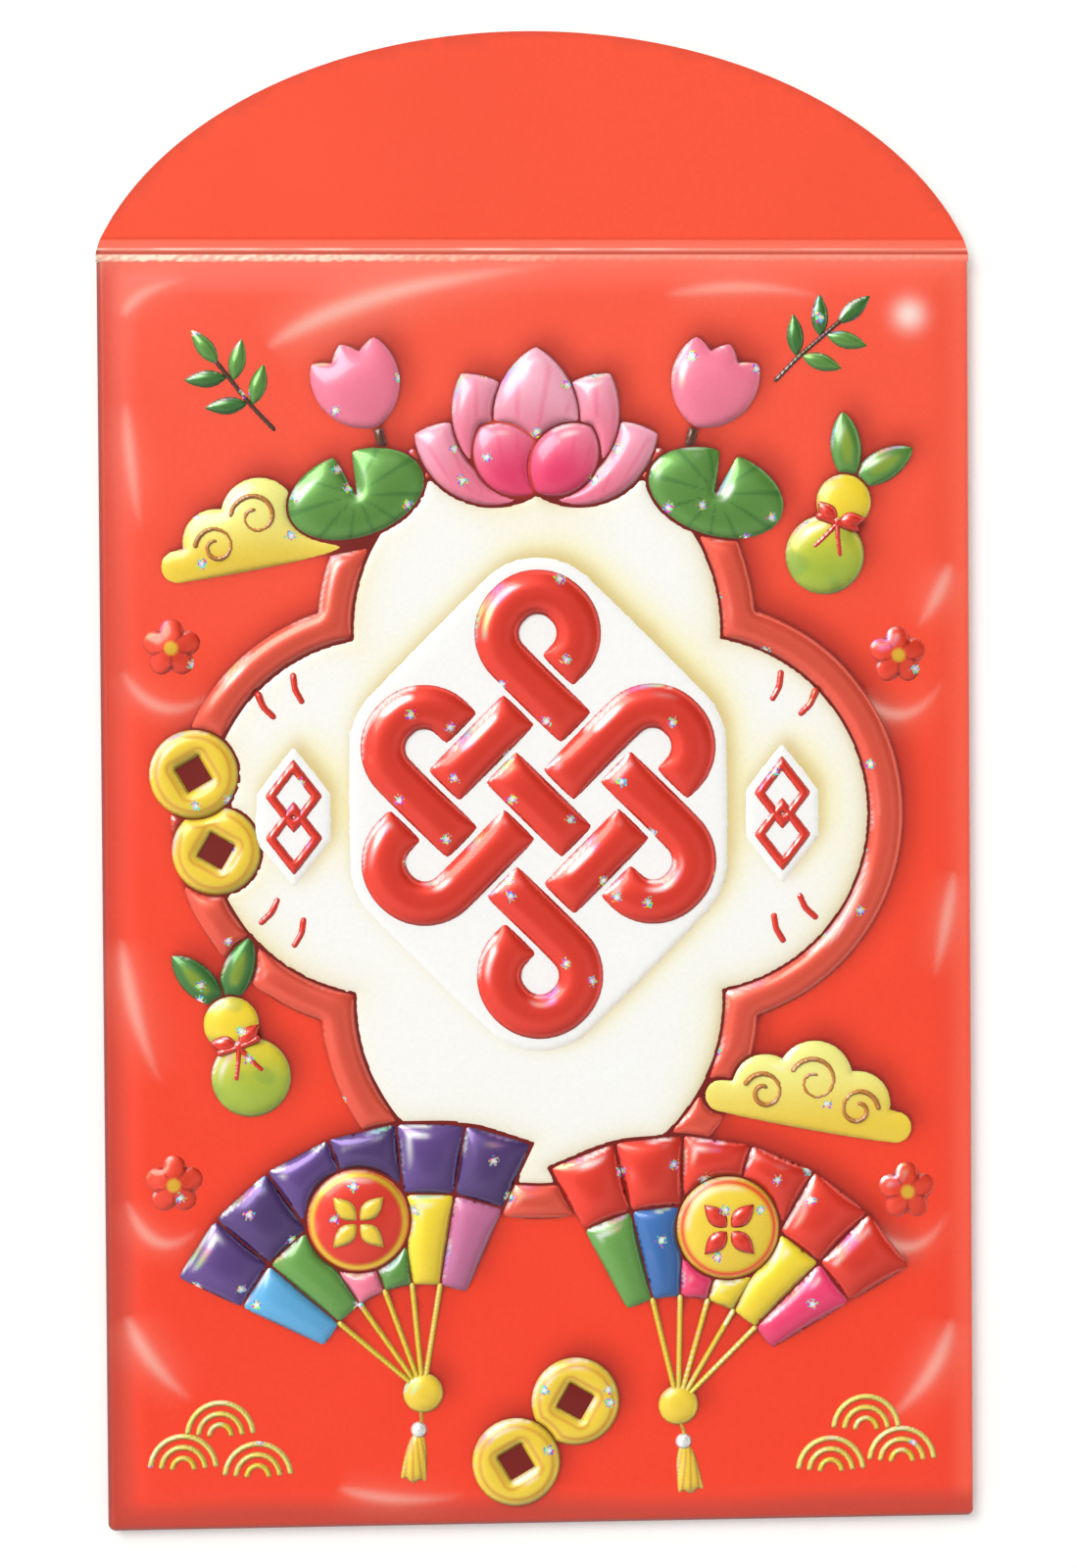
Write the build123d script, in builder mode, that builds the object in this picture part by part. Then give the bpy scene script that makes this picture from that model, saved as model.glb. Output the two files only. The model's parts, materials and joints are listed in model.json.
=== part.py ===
from build123d import *
from math import cos, hypot, radians, sin, sqrt
import os

# A small paper packet for gift money, lying face up with its flap open.
# X runs across the packet, Y from its bottom edge towards the flap, Z out of its front.
# The origin lies under the middle of the open packet. All sizes are in millimetres.

# The folded sheet
packet_width = 80.0
packet_height = 117.0
paper = 0.30
glue_film = 0.05
pocket_gap = 0.40

# The pillow pressed into the front: where its slope starts, how wide and how high it is
pillow_margin = 1.0
pillow_slope = 3.2
pillow_rise = 0.40
pillow_corner = 2.5

# The closure flap, and the strip between its two scores
spine_width = 1.25
flap_height = 19.0
flap_inset = 0.4
flap_shoulder = 8.8
score_bevel = 0.08

# The panels behind the front
mouth_drop = 0.8
corner_notch = 1.3
corner_round = 0.5
panel_clearance = 0.3
back_edge_inset = 1.2
side_tab_width = 12.0
side_tab_taper = 4.0
bottom_flap_height = 24.0
bottom_flap_taper = 9.0
bottom_flap_corner = 5.0
glue_margin = 1.5
glue_strip = 6.0

# The four-lobed field in the middle of the front, and its border
field_v = 7.0
side_lobe_reach = 14.0
side_lobe_radius = 16.5
end_lobe_reach = 17.0
end_lobe_radius = 17.0
border_width = 3.2

# The endless knot on the field
knot_v = 8.0
knot_angle = 45.0
knot_spacing = 7.4
knot_cord = 4.2
knot_gap = 0.3
loop_roundness = 0.48
plate_rim = 1.2

# The two folding fans: each pivot's place across the panel and over its bottom edge, and its lean
left_fan_u = -11.0
left_fan_lift = 12.5
left_fan_angle = 20.0
right_fan_u = 12.5
right_fan_lift = 11.0
right_fan_angle = -16.0
fan_radius = 25.0
fan_band = 6.5
fan_pleat = 8.5
fan_half_angle = 44.0
fan_folds = 6
fan_hub = 1.9
rib_half_angle = 2.2
roundel_radius = 4.8
roundel_reach = 17.0

# The lotus over the top of the border, its pads and its buds
lotus_sink = 4.5
petal_length = 13.5
petal_width = 8.0
petal_shrink = 0.5
petal_angle = 32.0
front_petal_length = 8.0
front_petal_width = 6.0
front_petal_angle = 40.0
pad_u = 16.5
pad_angle = 18.0
pad_length = 13.0
pad_width = 8.0
pad_notch = 3.0
bud_u = 14.5
bud_rise = 6.0
bud_angle = 24.0
bud_length = 8.5
bud_width = 4.6
bud_petal_angle = 22.0
stem_width = 1.0
stem_bow = 0.5

# Gourds, leaves and clouds, in pairs across the field's middle
gourd_u = 26.5
gourd_reach = 23.75
gourd_angle = 20.0
gourd_radius = 3.7
gourd_neck = 2.6
gourd_top_radius = 2.6
gourd_spacing = 5.2
leaf_length = 7.0
leaf_width = 3.0
leaf_angles = (25.0, -40.0)
cloud_u = 25.0
cloud_reach = 26.0
cloud_angle = 11.0
cloud_lobe = 3.1
cloud_crest = 3.6
cloud_spacing = 4.4
cloud_base = 3.2
cloud_tail = 5.5

# Coins: two pairs, each with its second coin shifted from the first and turned
coin_angle = 30.0
edge_coin_reach = 1.0
edge_coin_rise = 4.0
edge_coin_shift = (2.0, -7.0)
foot_coin_u = -2.5
foot_coin_lift = 6.0
foot_coin_shift = (5.5, 5.5)
coin_radius = 4.1
coin_hole = 2.4

# How far the ornaments stand out of the front, and how their tops are crowned, bevelled or stepped
field_height = 0.20
border_height = 0.55
plate_height = 0.25
knot_height = 0.70
knot_bevel = 0.50
roundel_height = 1.00
roundel_crown = 0.40
motif_height = 0.90
petal_step = 0.05
pleat_step = 0.15
low_height = 0.50
leaf_step = 0.08
cover_height = 3.0

# Levels, from the face that the packet lies on up to its front
outer_back = paper + glue_film
tab_level = outer_back + paper + glue_film
front_inner = tab_level + paper + pocket_gap
front_face = front_inner + paper
relief_base = front_face + pillow_rise
field_top = relief_base + field_height
plate_top = field_top + plate_height

# Places along the packet
bottom_y = -(packet_height + spine_width + flap_height) / 2
first_crease_y = bottom_y + packet_height
second_crease_y = first_crease_y + spine_width
panel_y = bottom_y + packet_height / 2
mouth_y = first_crease_y - mouth_drop
side_x = packet_width / 2

# Places along the panel, measured from its middle
panel_foot_v = -packet_height / 2
lotus_v = field_v + end_lobe_reach + end_lobe_radius - lotus_sink
bud_v = lotus_v + bud_rise
edge_coin_u = -(side_lobe_reach + side_lobe_radius + edge_coin_reach)
edge_coin_v = field_v + edge_coin_rise
foot_coin_v = panel_foot_v + foot_coin_lift

# Each rolled fold is half a tube, as tall as the layers that it wraps
left_radius = (front_face - outer_back) / 2
right_radius = (front_face - tab_level) / 2
bottom_radius = front_face / 2
side_fold_start = bottom_y + corner_notch
side_fold_length = mouth_y - side_fold_start
bottom_fold_length = packet_width - 2 * corner_notch
back_edge_x = side_x - back_edge_inset
tab_edge_x = side_x - right_radius - side_tab_width

LOW_LEFT = (Align.MIN, Align.MIN)
os.makedirs("parts", exist_ok=True)


def save(label, *pieces):
    """Write one node, made of one or more separate solids."""
    node = pieces[0] if len(pieces) == 1 else Compound(children=list(pieces))
    node.label = label
    export_step(node, f"parts/{label}.step")


def polar(radius, angle):
    """A point at a distance and an angle, in degrees, from the sketch's origin."""
    return (radius * cos(radians(angle)), radius * sin(radians(angle)))


# Front panel: a sheet with its three folds cut away, and the pillow pressed out of it
pillow = (
    (pillow_margin, 0.0),
    (pillow_margin + pillow_slope, pillow_rise),
)
with BuildPart() as front_panel:
    with BuildSketch(Plane.XY.offset(front_inner)) as front_outline:
        with Locations((0, panel_y)):
            Rectangle(packet_width, packet_height)
        lower_corners = front_outline.vertices().group_by(Axis.Y)[0]
        fillet(lower_corners, corner_round)
        with Locations((-side_x, side_fold_start)):
            Rectangle(left_radius, side_fold_length, align=LOW_LEFT, mode=Mode.SUBTRACT)
        with Locations((side_x - right_radius, side_fold_start)):
            Rectangle(right_radius, side_fold_length, align=LOW_LEFT, mode=Mode.SUBTRACT)
        with Locations((corner_notch - side_x, bottom_y)):
            Rectangle(bottom_fold_length, bottom_radius, align=LOW_LEFT, mode=Mode.SUBTRACT)
    extrude(amount=paper)
    crease_edge = front_panel.edges().filter_by(Axis.X).group_by(Axis.Y)[-1].sort_by(Axis.Z)[-1]
    chamfer(crease_edge, score_bevel)
    for drop, mode in ((0.0, Mode.ADD), (paper, Mode.SUBTRACT)):
        for inset, rise in pillow:
            with BuildSketch(Plane.XY.offset(front_face + rise - drop)):
                with Locations((0, panel_y)):
                    RectangleRounded(packet_width - 2 * inset, packet_height - 2 * inset, pillow_corner)
        loft(ruled=True, mode=mode)
save("front_panel", front_panel.part)


def rolled_fold(start, radius, length):
    """Half a paper tube along the start plane's normal, open towards the plane's X."""
    with BuildPart() as fold:
        with BuildSketch(start):
            Circle(radius)
            Circle(radius - paper, mode=Mode.SUBTRACT)
            Rectangle(radius, 2 * radius, align=(Align.MIN, Align.CENTER), mode=Mode.SUBTRACT)
        extrude(amount=length)
    return fold.part


# The three rolled folds round the edges of the packet
left_start = Plane((left_radius - side_x, mouth_y, front_face - left_radius), (1, 0, 0), (0, -1, 0))
right_start = Plane((side_x - right_radius, mouth_y, front_face - right_radius), (-1, 0, 0), (0, -1, 0))
bottom_start = Plane((corner_notch - side_x, bottom_y + bottom_radius, bottom_radius), (0, 1, 0), (1, 0, 0))
save("left_fold", rolled_fold(left_start, left_radius, side_fold_length))
save("right_fold", rolled_fold(right_start, right_radius, side_fold_length))
save("bottom_fold", rolled_fold(bottom_start, bottom_radius, bottom_fold_length))

# Back panel: wraps round the left fold and ends in a free edge just short of the right fold
back_start_y = bottom_y + bottom_radius + panel_clearance
with BuildPart() as back_panel:
    with BuildSketch(Plane.XY.offset(outer_back)) as back_outline:
        with Locations((left_radius - side_x, back_start_y)):
            Rectangle(back_edge_x + side_x - left_radius, mouth_y - back_start_y, align=LOW_LEFT)
        free_corners = back_outline.vertices().group_by(Axis.X)[-1]
        fillet(free_corners, corner_round)
    extrude(amount=paper)
save("back_panel", back_panel.part)

# Side tab: turned in at the right fold, its ends cut at a slant
with BuildPart() as side_tab:
    with BuildSketch(Plane.XY.offset(tab_level)):
        with BuildLine():
            Polyline(
                (side_x - right_radius, side_fold_start),
                (side_x - right_radius, mouth_y),
                (tab_edge_x, mouth_y - side_tab_taper),
                (tab_edge_x, side_fold_start + side_tab_taper),
                close=True,
            )
        make_face()
    extrude(amount=paper)
save("side_tab", side_tab.part)

# Glue film that holds the back panel to the side tab
seam_start_y = side_fold_start + side_tab_taper + glue_margin
with BuildPart() as side_seam_glue:
    with BuildSketch(Plane.XY.offset(outer_back + paper)):
        with Locations((tab_edge_x + glue_margin, seam_start_y)):
            Rectangle(
                back_edge_x - tab_edge_x - 2 * glue_margin,
                mouth_y - side_tab_taper - glue_margin - seam_start_y,
                align=LOW_LEFT,
            )
    extrude(amount=glue_film)
save("side_seam_glue", side_seam_glue.part)

# Bottom flap: turned up over the back, narrower at its rounded free edge
flap_foot_x = bottom_fold_length / 2
flap_head_x = flap_foot_x - bottom_flap_taper
flap_head_y = bottom_y + bottom_flap_height
with BuildPart() as bottom_flap:
    with BuildSketch(Plane.XY) as bottom_outline:
        with BuildLine():
            Polyline(
                (-flap_foot_x, bottom_y + bottom_radius),
                (flap_foot_x, bottom_y + bottom_radius),
                (flap_head_x, flap_head_y),
                (-flap_head_x, flap_head_y),
                close=True,
            )
        make_face()
        head_corners = bottom_outline.vertices().group_by(Axis.Y)[-1]
        fillet(head_corners, bottom_flap_corner)
    extrude(amount=paper)
save("bottom_flap", bottom_flap.part)

# Glue film along the free edge of the bottom flap
with BuildPart() as bottom_flap_glue:
    with BuildSketch(Plane.XY.offset(paper)):
        with Locations((0, flap_head_y - glue_margin)):
            Rectangle(
                2 * (flap_head_x - bottom_flap_corner),
                glue_strip,
                align=(Align.CENTER, Align.MAX),
            )
    extrude(amount=glue_film)
save("bottom_flap_glue", bottom_flap_glue.part)

# Spine strip: between the two scores, narrowing from the packet's width to the flap's
flap_base_x = side_x - flap_inset
with BuildPart() as spine_strip:
    with BuildSketch(Plane.XY.offset(front_inner)):
        with BuildLine():
            Polyline(
                (-side_x, first_crease_y),
                (side_x, first_crease_y),
                (flap_base_x, second_crease_y),
                (-flap_base_x, second_crease_y),
                close=True,
            )
        make_face()
    extrude(amount=paper)
    chamfer(spine_strip.edges().filter_by(Axis.X).group_by(Axis.Z)[-1], score_bevel)
save("spine_strip", spine_strip.part)

# Closure flap: the top of an ellipse that passes through both ends of the second score
ellipse_y = flap_shoulder + flap_height
ellipse_x = flap_base_x / sqrt(1 - (flap_shoulder / ellipse_y) ** 2)
with BuildPart() as closure_flap:
    with BuildSketch(Plane.XY.offset(front_inner)):
        with Locations((0, second_crease_y - flap_shoulder)):
            Ellipse(ellipse_x, ellipse_y)
        with Locations((0, second_crease_y)):
            Rectangle(2 * ellipse_x, 2 * ellipse_y, align=(Align.CENTER, Align.MAX), mode=Mode.SUBTRACT)
    extrude(amount=paper)
    flap_edge = closure_flap.edges().filter_by(Axis.X).group_by(Axis.Z)[-1]
    chamfer(flap_edge, score_bevel)
save("closure_flap", closure_flap.part)


# Raised ornaments: each is laid under the ones before it, and cut away where they cover it
covers = []


def spot(u, v, turn=0.0, level=relief_base):
    """The plane on the pillow's top at a place measured from the panel's middle, turned in degrees."""
    return Plane((u, panel_y + v, level), (*polar(1.0, turn), 0), (0, 0, 1))


def cover(outline):
    """Keep later ornaments out of the space over an outline."""
    covers.append((outline.bounding_box(), extrude(outline, amount=cover_height)))


def boxes_meet(a, b):
    """Whether two boxes overlap, seen from above."""
    across = a.min.X < b.max.X and b.min.X < a.max.X
    along = a.min.Y < b.max.Y and b.min.Y < a.max.Y
    return across and along


def emboss(outline, height, crown=0.0, bevel=0.0):
    """Raise one outline with a flat, crowned or bevelled top, clear of what already covers it."""
    outline_box = outline.bounding_box()
    with BuildPart() as boss:
        extrude(outline, amount=height + crown)
        if bevel:
            chamfer(boss.edges().group_by(Axis.Z)[-1], bevel)
        if crown:
            box = boss.part.bounding_box()
            reach = hypot(box.size.X, box.size.Y) / 2
            radius = (reach**2 + crown**2) / (2 * crown)
            with Locations((box.center().X, box.center().Y, box.min.Z + height - radius)):
                Sphere(radius, rotation=(90, 0, 0), mode=Mode.INTERSECT)
        for cover_box, prism in covers:
            if boxes_meet(outline_box, cover_box):
                add(prism, mode=Mode.SUBTRACT)
    return boss.part


def side_by_side(outlines, height, step=0.0):
    """Raise outlines that don't cover each other, every other one lower by a step."""
    pieces = [emboss(outline, height - step * (place % 2)) for place, outline in enumerate(outlines)]
    for outline in outlines:
        cover(outline)
    return pieces


def stacked(outlines, height, step=0.0):
    """Raise outlines of which each lies under the one before, and lower by a step."""
    pieces = []
    for place, outline in enumerate(outlines):
        pieces.append(emboss(outline, height - step * place))
        cover(outline)
    return pieces


def disc(plane, radius):
    """A round outline."""
    with BuildSketch(plane) as outline:
        Circle(radius)
    return outline.sketch


def lens(plane, length, width):
    """A petal or leaf: two arcs from the plane's origin to a point along its Y."""
    with BuildSketch(plane) as outline:
        with BuildLine():
            ThreePointArc((0, 0), (width / 2, length / 2), (0, length))
            ThreePointArc((0, length), (-width / 2, length / 2), (0, 0))
        make_face()
    return outline.sketch


def fold_panel(plane, inner, outer, start, stop):
    """A flat panel between two radii of a fan and the two angles of its folds."""
    with BuildSketch(plane) as outline:
        with BuildLine():
            Polyline(
                polar(inner, start),
                polar(outer, start),
                polar(outer, stop),
                polar(inner, stop),
                close=True,
            )
        make_face()
    return outline.sketch


def strip(plane, width, *points):
    """A strip of one width along an arc through three points."""
    with BuildSketch(plane) as outline:
        with BuildLine():
            ThreePointArc(*points)
        trace(line_width=width)
    return outline.sketch


def fan(name, u, lift, tilt):
    """A folding fan: a roundel on its leaf, a coloured band over pleats, and ribs from a hub."""
    v = panel_foot_v + lift
    pivot = spot(u, v, 90 + tilt)
    fold_angle = 2 * fan_half_angle / fan_folds
    edges = [fold * fold_angle - fan_half_angle for fold in range(fan_folds + 1)]
    folds = list(zip(edges, edges[1:]))
    band_start = fan_radius - fan_band
    pleat_start = band_start - fan_pleat
    middle = polar(roundel_reach, 90 + tilt)
    roundel = disc(spot(u + middle[0], v + middle[1]), roundel_radius)
    save(f"{name}_fan_roundel", emboss(roundel, roundel_height, crown=roundel_crown))
    cover(roundel)
    save(f"{name}_fan_hub", *stacked([disc(pivot, fan_hub)], motif_height))
    bands = [fold_panel(pivot, band_start, fan_radius, start, stop) for start, stop in folds]
    pleats = [fold_panel(pivot, pleat_start, band_start, start, stop) for start, stop in folds]
    ribs = [
        fold_panel(pivot, fan_hub / 2, pleat_start, edge - rib_half_angle, edge + rib_half_angle)
        for edge in edges[1:-1]
    ]
    save(f"{name}_fan_band", *side_by_side(bands, motif_height, pleat_step))
    save(f"{name}_fan_pleats", *side_by_side(pleats, motif_height - pleat_step, pleat_step))
    save(f"{name}_fan_ribs", *side_by_side(ribs, low_height))


fan("right", right_fan_u, right_fan_lift, right_fan_angle)
fan("left", left_fan_u, left_fan_lift, left_fan_angle)

# Lotus: two short front petals over a middle petal and two pairs that open outwards
front_petals = [
    lens(spot(0, lotus_v, side * front_petal_angle), front_petal_length, front_petal_width)
    for side in (-1, 1)
]
petals = [lens(spot(0, lotus_v), petal_length, petal_width)]
for pair in (1, 2):
    for side in (-1, 1):
        leaning = spot(0, lotus_v, side * pair * petal_angle)
        petals.append(lens(leaning, petal_length - pair * petal_shrink, petal_width - pair * petal_shrink))
save("lotus_flower", *stacked(front_petals + petals, motif_height, petal_step))


def bud(u, v, turn):
    """A lotus bud: a middle petal between two that lean away from it."""
    with BuildSketch() as outline:
        for lean in (0, bud_petal_angle, -bud_petal_angle):
            add(lens(Plane.XY.rotated((0, 0, lean)), bud_length, bud_width))
    return spot(u, v, turn) * outline.sketch


buds = [bud(side * bud_u, bud_v, -side * bud_angle) for side in (-1, 1)]
save("lotus_buds", *side_by_side(buds, motif_height))


def pad(u, v, turn):
    """A lotus pad: an ellipse with a notch cut in to its middle."""
    with BuildSketch(spot(u, v, turn)) as outline:
        Ellipse(pad_length / 2, pad_width / 2)
        with BuildLine():
            Polyline((0, 0), (pad_notch / 2, pad_width), (-pad_notch / 2, pad_width), close=True)
        make_face(mode=Mode.SUBTRACT)
    return outline.sketch


pads = [pad(side * pad_u, lotus_v, -side * pad_angle) for side in (-1, 1)]
save("lotus_pads", *side_by_side(pads, low_height))
stems = [
    strip(spot(side * bud_u, lotus_v), stem_width, (0, 0), (-side * stem_bow, bud_rise / 2), (0, bud_rise))
    for side in (-1, 1)
]
save("lotus_stems", *side_by_side(stems, low_height))


def gourd(u, v, turn):
    """A bottle gourd seen from the side."""
    with BuildSketch(spot(u, v, turn)) as outline:
        Circle(gourd_radius)
        with Locations((0, gourd_spacing)):
            Circle(gourd_top_radius)
        with Locations((0, gourd_spacing / 2)):
            Rectangle(gourd_neck, gourd_spacing)
    return outline.sketch


gourd_spots = [(side * gourd_u, field_v + side * gourd_reach, -side * gourd_angle) for side in (1, -1)]
gourds = [gourd(*place) for place in gourd_spots]
save("gourds", *side_by_side(gourds, motif_height))
gourd_leaves = []
for u, v, turn in gourd_spots:
    head = polar(gourd_spacing + gourd_top_radius - stem_width, 90 + turn)
    leaves = [
        lens(spot(u + head[0], v + head[1], turn + lean), leaf_length, leaf_width) for lean in leaf_angles
    ]
    gourd_leaves += stacked(leaves, low_height, leaf_step)
save("gourd_leaves", *gourd_leaves)


def coin(u, v, turn):
    """A cash coin with a square hole."""
    with BuildSketch(spot(u, v, turn)) as outline:
        Circle(coin_radius)
        Rectangle(coin_hole, coin_hole, mode=Mode.SUBTRACT)
    return outline.sketch


coins = []
for u, v, shift in ((edge_coin_u, edge_coin_v, edge_coin_shift), (foot_coin_u, foot_coin_v, foot_coin_shift)):
    for place in (0, 1):
        coin_u = u + place * shift[0]
        coin_v = v + place * shift[1]
        coins.append(emboss(coin(coin_u, coin_v, coin_angle * (place + 1)), motif_height))
        cover(disc(spot(coin_u, coin_v), coin_radius))
save("cash_coins", *coins)


def cloud(u, v, turn):
    """A cloud scroll: three lobes over a flat tail."""
    with BuildSketch(spot(u, v, turn)) as outline:
        with Locations((-cloud_spacing, 0), (cloud_spacing, 0)):
            Circle(cloud_lobe)
        with Locations((0, cloud_lobe / 2)):
            Circle(cloud_crest)
        with Locations((0, -cloud_lobe / 2)):
            SlotOverall(2 * (cloud_spacing + cloud_tail), cloud_base)
    return outline.sketch


clouds = [cloud(side * cloud_u, field_v - side * cloud_reach, -side * cloud_angle) for side in (-1, 1)]
save("gold_clouds", *side_by_side(clouds, low_height))


# Endless knot: one cord that weaves over and under itself, in runs between the places where it dives
loop_end = 2 * knot_spacing
loop_radius = loop_roundness * knot_spacing


def knot_runs(gap):
    """The corner points of each visible run of the cord, which stops this far from where it dives."""
    half = [
        ((knot_spacing - gap, knot_spacing), (gap - knot_spacing, knot_spacing)),
        ((-knot_spacing - gap, knot_spacing), (-loop_end, knot_spacing), (-loop_end, 0), (-gap, 0)),
        ((-knot_spacing, gap), (-knot_spacing, loop_end), (0, loop_end), (0, knot_spacing + gap)),
        (
            (knot_spacing, gap),
            (knot_spacing, loop_end),
            (loop_end, loop_end),
            (loop_end, knot_spacing),
            (knot_spacing + gap, knot_spacing),
        ),
    ]
    other_half = [tuple((-x, -y) for x, y in run) for run in half]
    middle = ((0, knot_spacing - gap), (0, gap - knot_spacing))
    return [*half, *other_half, middle]


def draw_cord(run):
    """The line of one run, round at its corners."""
    if len(run) == 2:
        return Line(*run)
    return FilletPolyline(*run, radius=loop_radius)


cords = []
for run in knot_runs(knot_cord / 2 + knot_gap):
    with BuildSketch(spot(0, knot_v, knot_angle, plate_top)) as cord_outline:
        with BuildLine():
            draw_cord(run)
        trace(line_width=knot_cord)
    cords.append(emboss(cord_outline.sketch, knot_height, bevel=knot_bevel))
save("endless_knot", *cords)

# Pale plate under the knot: drawn tight round its six loops
loop_middle = loop_end - loop_radius
with BuildSketch(spot(0, knot_v, knot_angle, field_top)) as plate_outline:
    for side in (-1, 1):
        with Locations(
            (side * loop_middle, side * loop_middle),
            (side * loop_middle, -side * knot_spacing / 2),
            (side * knot_spacing / 2, -side * loop_middle),
        ):
            Circle(loop_radius + knot_cord / 2 + plate_rim)
    make_hull(plate_outline.edges())
save("knot_plate", emboss(plate_outline.sketch, plate_height))


def lobed_field(grow):
    """Four overlapping circles, two at the sides and two at the ends, grown outwards."""
    with BuildSketch(spot(0, field_v)) as outline:
        with Locations((-side_lobe_reach, 0), (side_lobe_reach, 0)):
            Circle(side_lobe_radius + grow)
        with Locations((0, -end_lobe_reach), (0, end_lobe_reach)):
            Circle(end_lobe_radius + grow)
        Rectangle(2 * side_lobe_reach, 2 * end_lobe_reach)
    return outline.sketch


# The pale field, and the border that follows its lobes
save("lobed_field", *stacked([lobed_field(0)], field_height))
save("field_border", *stacked([lobed_field(border_width)], border_height))
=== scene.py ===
import json
import math

import bpy
import numpy as np
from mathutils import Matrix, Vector
from mathutils.geometry import delaunay_2d_cdt
from mathutils.kdtree import KDTree


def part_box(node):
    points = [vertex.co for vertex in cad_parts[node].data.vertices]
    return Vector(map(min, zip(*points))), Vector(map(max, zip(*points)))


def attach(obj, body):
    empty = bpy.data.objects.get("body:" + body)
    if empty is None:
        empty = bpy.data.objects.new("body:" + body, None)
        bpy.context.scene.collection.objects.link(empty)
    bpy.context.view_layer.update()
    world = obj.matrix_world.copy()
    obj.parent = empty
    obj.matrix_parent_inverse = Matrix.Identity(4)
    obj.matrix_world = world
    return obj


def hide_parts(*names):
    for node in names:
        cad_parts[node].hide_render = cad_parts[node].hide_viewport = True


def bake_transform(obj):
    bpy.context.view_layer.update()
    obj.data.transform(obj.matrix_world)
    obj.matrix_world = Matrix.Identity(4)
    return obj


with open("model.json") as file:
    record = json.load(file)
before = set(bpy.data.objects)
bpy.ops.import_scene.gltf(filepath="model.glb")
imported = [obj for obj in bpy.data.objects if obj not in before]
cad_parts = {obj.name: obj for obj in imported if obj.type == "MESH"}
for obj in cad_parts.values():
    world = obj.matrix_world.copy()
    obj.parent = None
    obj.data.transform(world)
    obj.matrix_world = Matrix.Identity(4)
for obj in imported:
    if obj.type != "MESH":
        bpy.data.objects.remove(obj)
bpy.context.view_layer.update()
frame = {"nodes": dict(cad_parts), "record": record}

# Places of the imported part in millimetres; u and v run across and along the front from its middle
MM = 0.001
front_lo, front_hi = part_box("front_panel")
PANEL_Y = (front_lo.y + front_hi.y) / 2 / MM
HALF_W = front_hi.x / MM
HALF_H = (front_hi.y - front_lo.y) / 2 / MM
CREASE_1 = HALF_H
CREASE_2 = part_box("closure_flap")[0].y / MM - PANEL_Y
INNER_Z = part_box("spine_strip")[0].z / MM
FACE_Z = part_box("spine_strip")[1].z / MM
RELIEF_Z = front_hi.z / MM
PAPER = FACE_Z - INNER_Z
# How far the score strips reach below the first score and above the second
BEND_BELOW, BEND_ABOVE = 0.78, 0.4
STRIP_START = CREASE_1 - BEND_BELOW
STRIP_SPLIT = (CREASE_1 + CREASE_2) / 2
STRIP_END = CREASE_2 + BEND_ABOVE
# Ornaments sink into what carries them, and the front laps over its folds
SINK = 0.08
LAP = 0.03
# Steps of the nets of the front, the flap and the raised print
FRONT_STEP, FLAP_STEP, PRINT_STEP = 0.42, 1.2, 0.27
# Nets: a corner's least turn, and shares of the step for rows, room at the rim and spared points
CORNER_TURN = 0.45
ROW_SHARE, RIM_SHARE, SPARE_SHARE = 0.866, 0.6, 0.35
# Points tested at a time, so that memory stays small
CHUNK = 4000
# Directions in the plane: where the printed light comes from, and where shade lies
PRINT_LIGHT = np.array([-0.62, 0.78])
SHADE_BELOW = np.array([0.3, -0.95])
SHADE_RIGHT = np.array([0.83, 0.55])
# Painted glints of light from the foil, the slots whose print has little foil, and the slot of each imported
# node
GLINTS_PER_M = 210.0
GLINT_SIZE = 0.00085
BRIGHT_SLOTS = ("print_gold", "print_yellow_green", "print_mixed", "print_pink")
NODE_SLOTS = {part["node"]: part["material_slot"] for part in frame["record"]["subparts"]}


def srgb(r, g, b):
    """A picture's colour in linear light."""
    c = np.array([r, g, b], float) / 255
    return np.where(c <= 0.04045, c / 12.92, ((c + 0.055) / 1.055) ** 2.4)


RED = srgb(252, 72, 44)
RED_TOP = srgb(253, 88, 62)
RED_LOW = srgb(253, 67, 38)
RED_FLAP = srgb(252, 84, 54)
# Dark red for painted shadows beside the ornaments, and for the seams between the blossoms' petals
RED_DARK = srgb(150, 30, 24)
# Painted shade along the front's left and lower edges and round the flap's rim
RED_EDGE_SHADE = srgb(200, 68, 52)
# Painted shade on the folded edges, with a thin dark line where they meet the floor
FOLD_SHADE = srgb(128, 56, 50)
BORDER_RED = srgb(246, 92, 68)
KNOT_RED = srgb(244, 62, 42)
WHITE = srgb(255, 255, 252)
TAN = srgb(214, 182, 118)
GLOW = srgb(255, 244, 150)
GOLD = srgb(252, 216, 62)
GOLD_DARK = srgb(214, 140, 48)
PALE_GOLD = srgb(254, 246, 140)
PINK = srgb(252, 128, 156)
PALE_PINK = srgb(254, 178, 198)
HOT_PINK = srgb(244, 62, 112)
PURPLE = srgb(88, 62, 122)
MAUVE = srgb(196, 108, 150)
SKY = srgb(96, 176, 226)
BLUE = srgb(56, 108, 176)
GREEN = srgb(104, 160, 72)
LEAF = srgb(70, 128, 58)
LIME = srgb(176, 198, 60)
YELLOW = srgb(254, 222, 52)
BROWN = srgb(104, 62, 44)
# Painted highlights along the top and right edges, in a corner, and in streaks with a soft veil round them
TOP_LIGHT = srgb(255, 160, 138)
SIDE_LIGHT = srgb(255, 106, 82)
CORNER_LIGHT = srgb(255, 238, 226)
STREAK_LIGHT = srgb(255, 214, 200)
STREAK_VEIL = srgb(255, 150, 128)
SCORE_BAND = srgb(255, 116, 92)
SHOULDER_LIGHT = srgb(255, 170, 146)
# Paper wear mixed with a painted highlight on the shoulder at the first score
PAPER_WEAR_AND_SHEEN = srgb(255, 246, 218)
THREAD_LIGHT = srgb(255, 232, 214)
# Painted shade in the creases of the two scores
CREASE_SHADE = srgb(176, 44, 30)
FAINT_CREASE_SHADE = srgb(232, 78, 54)


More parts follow.
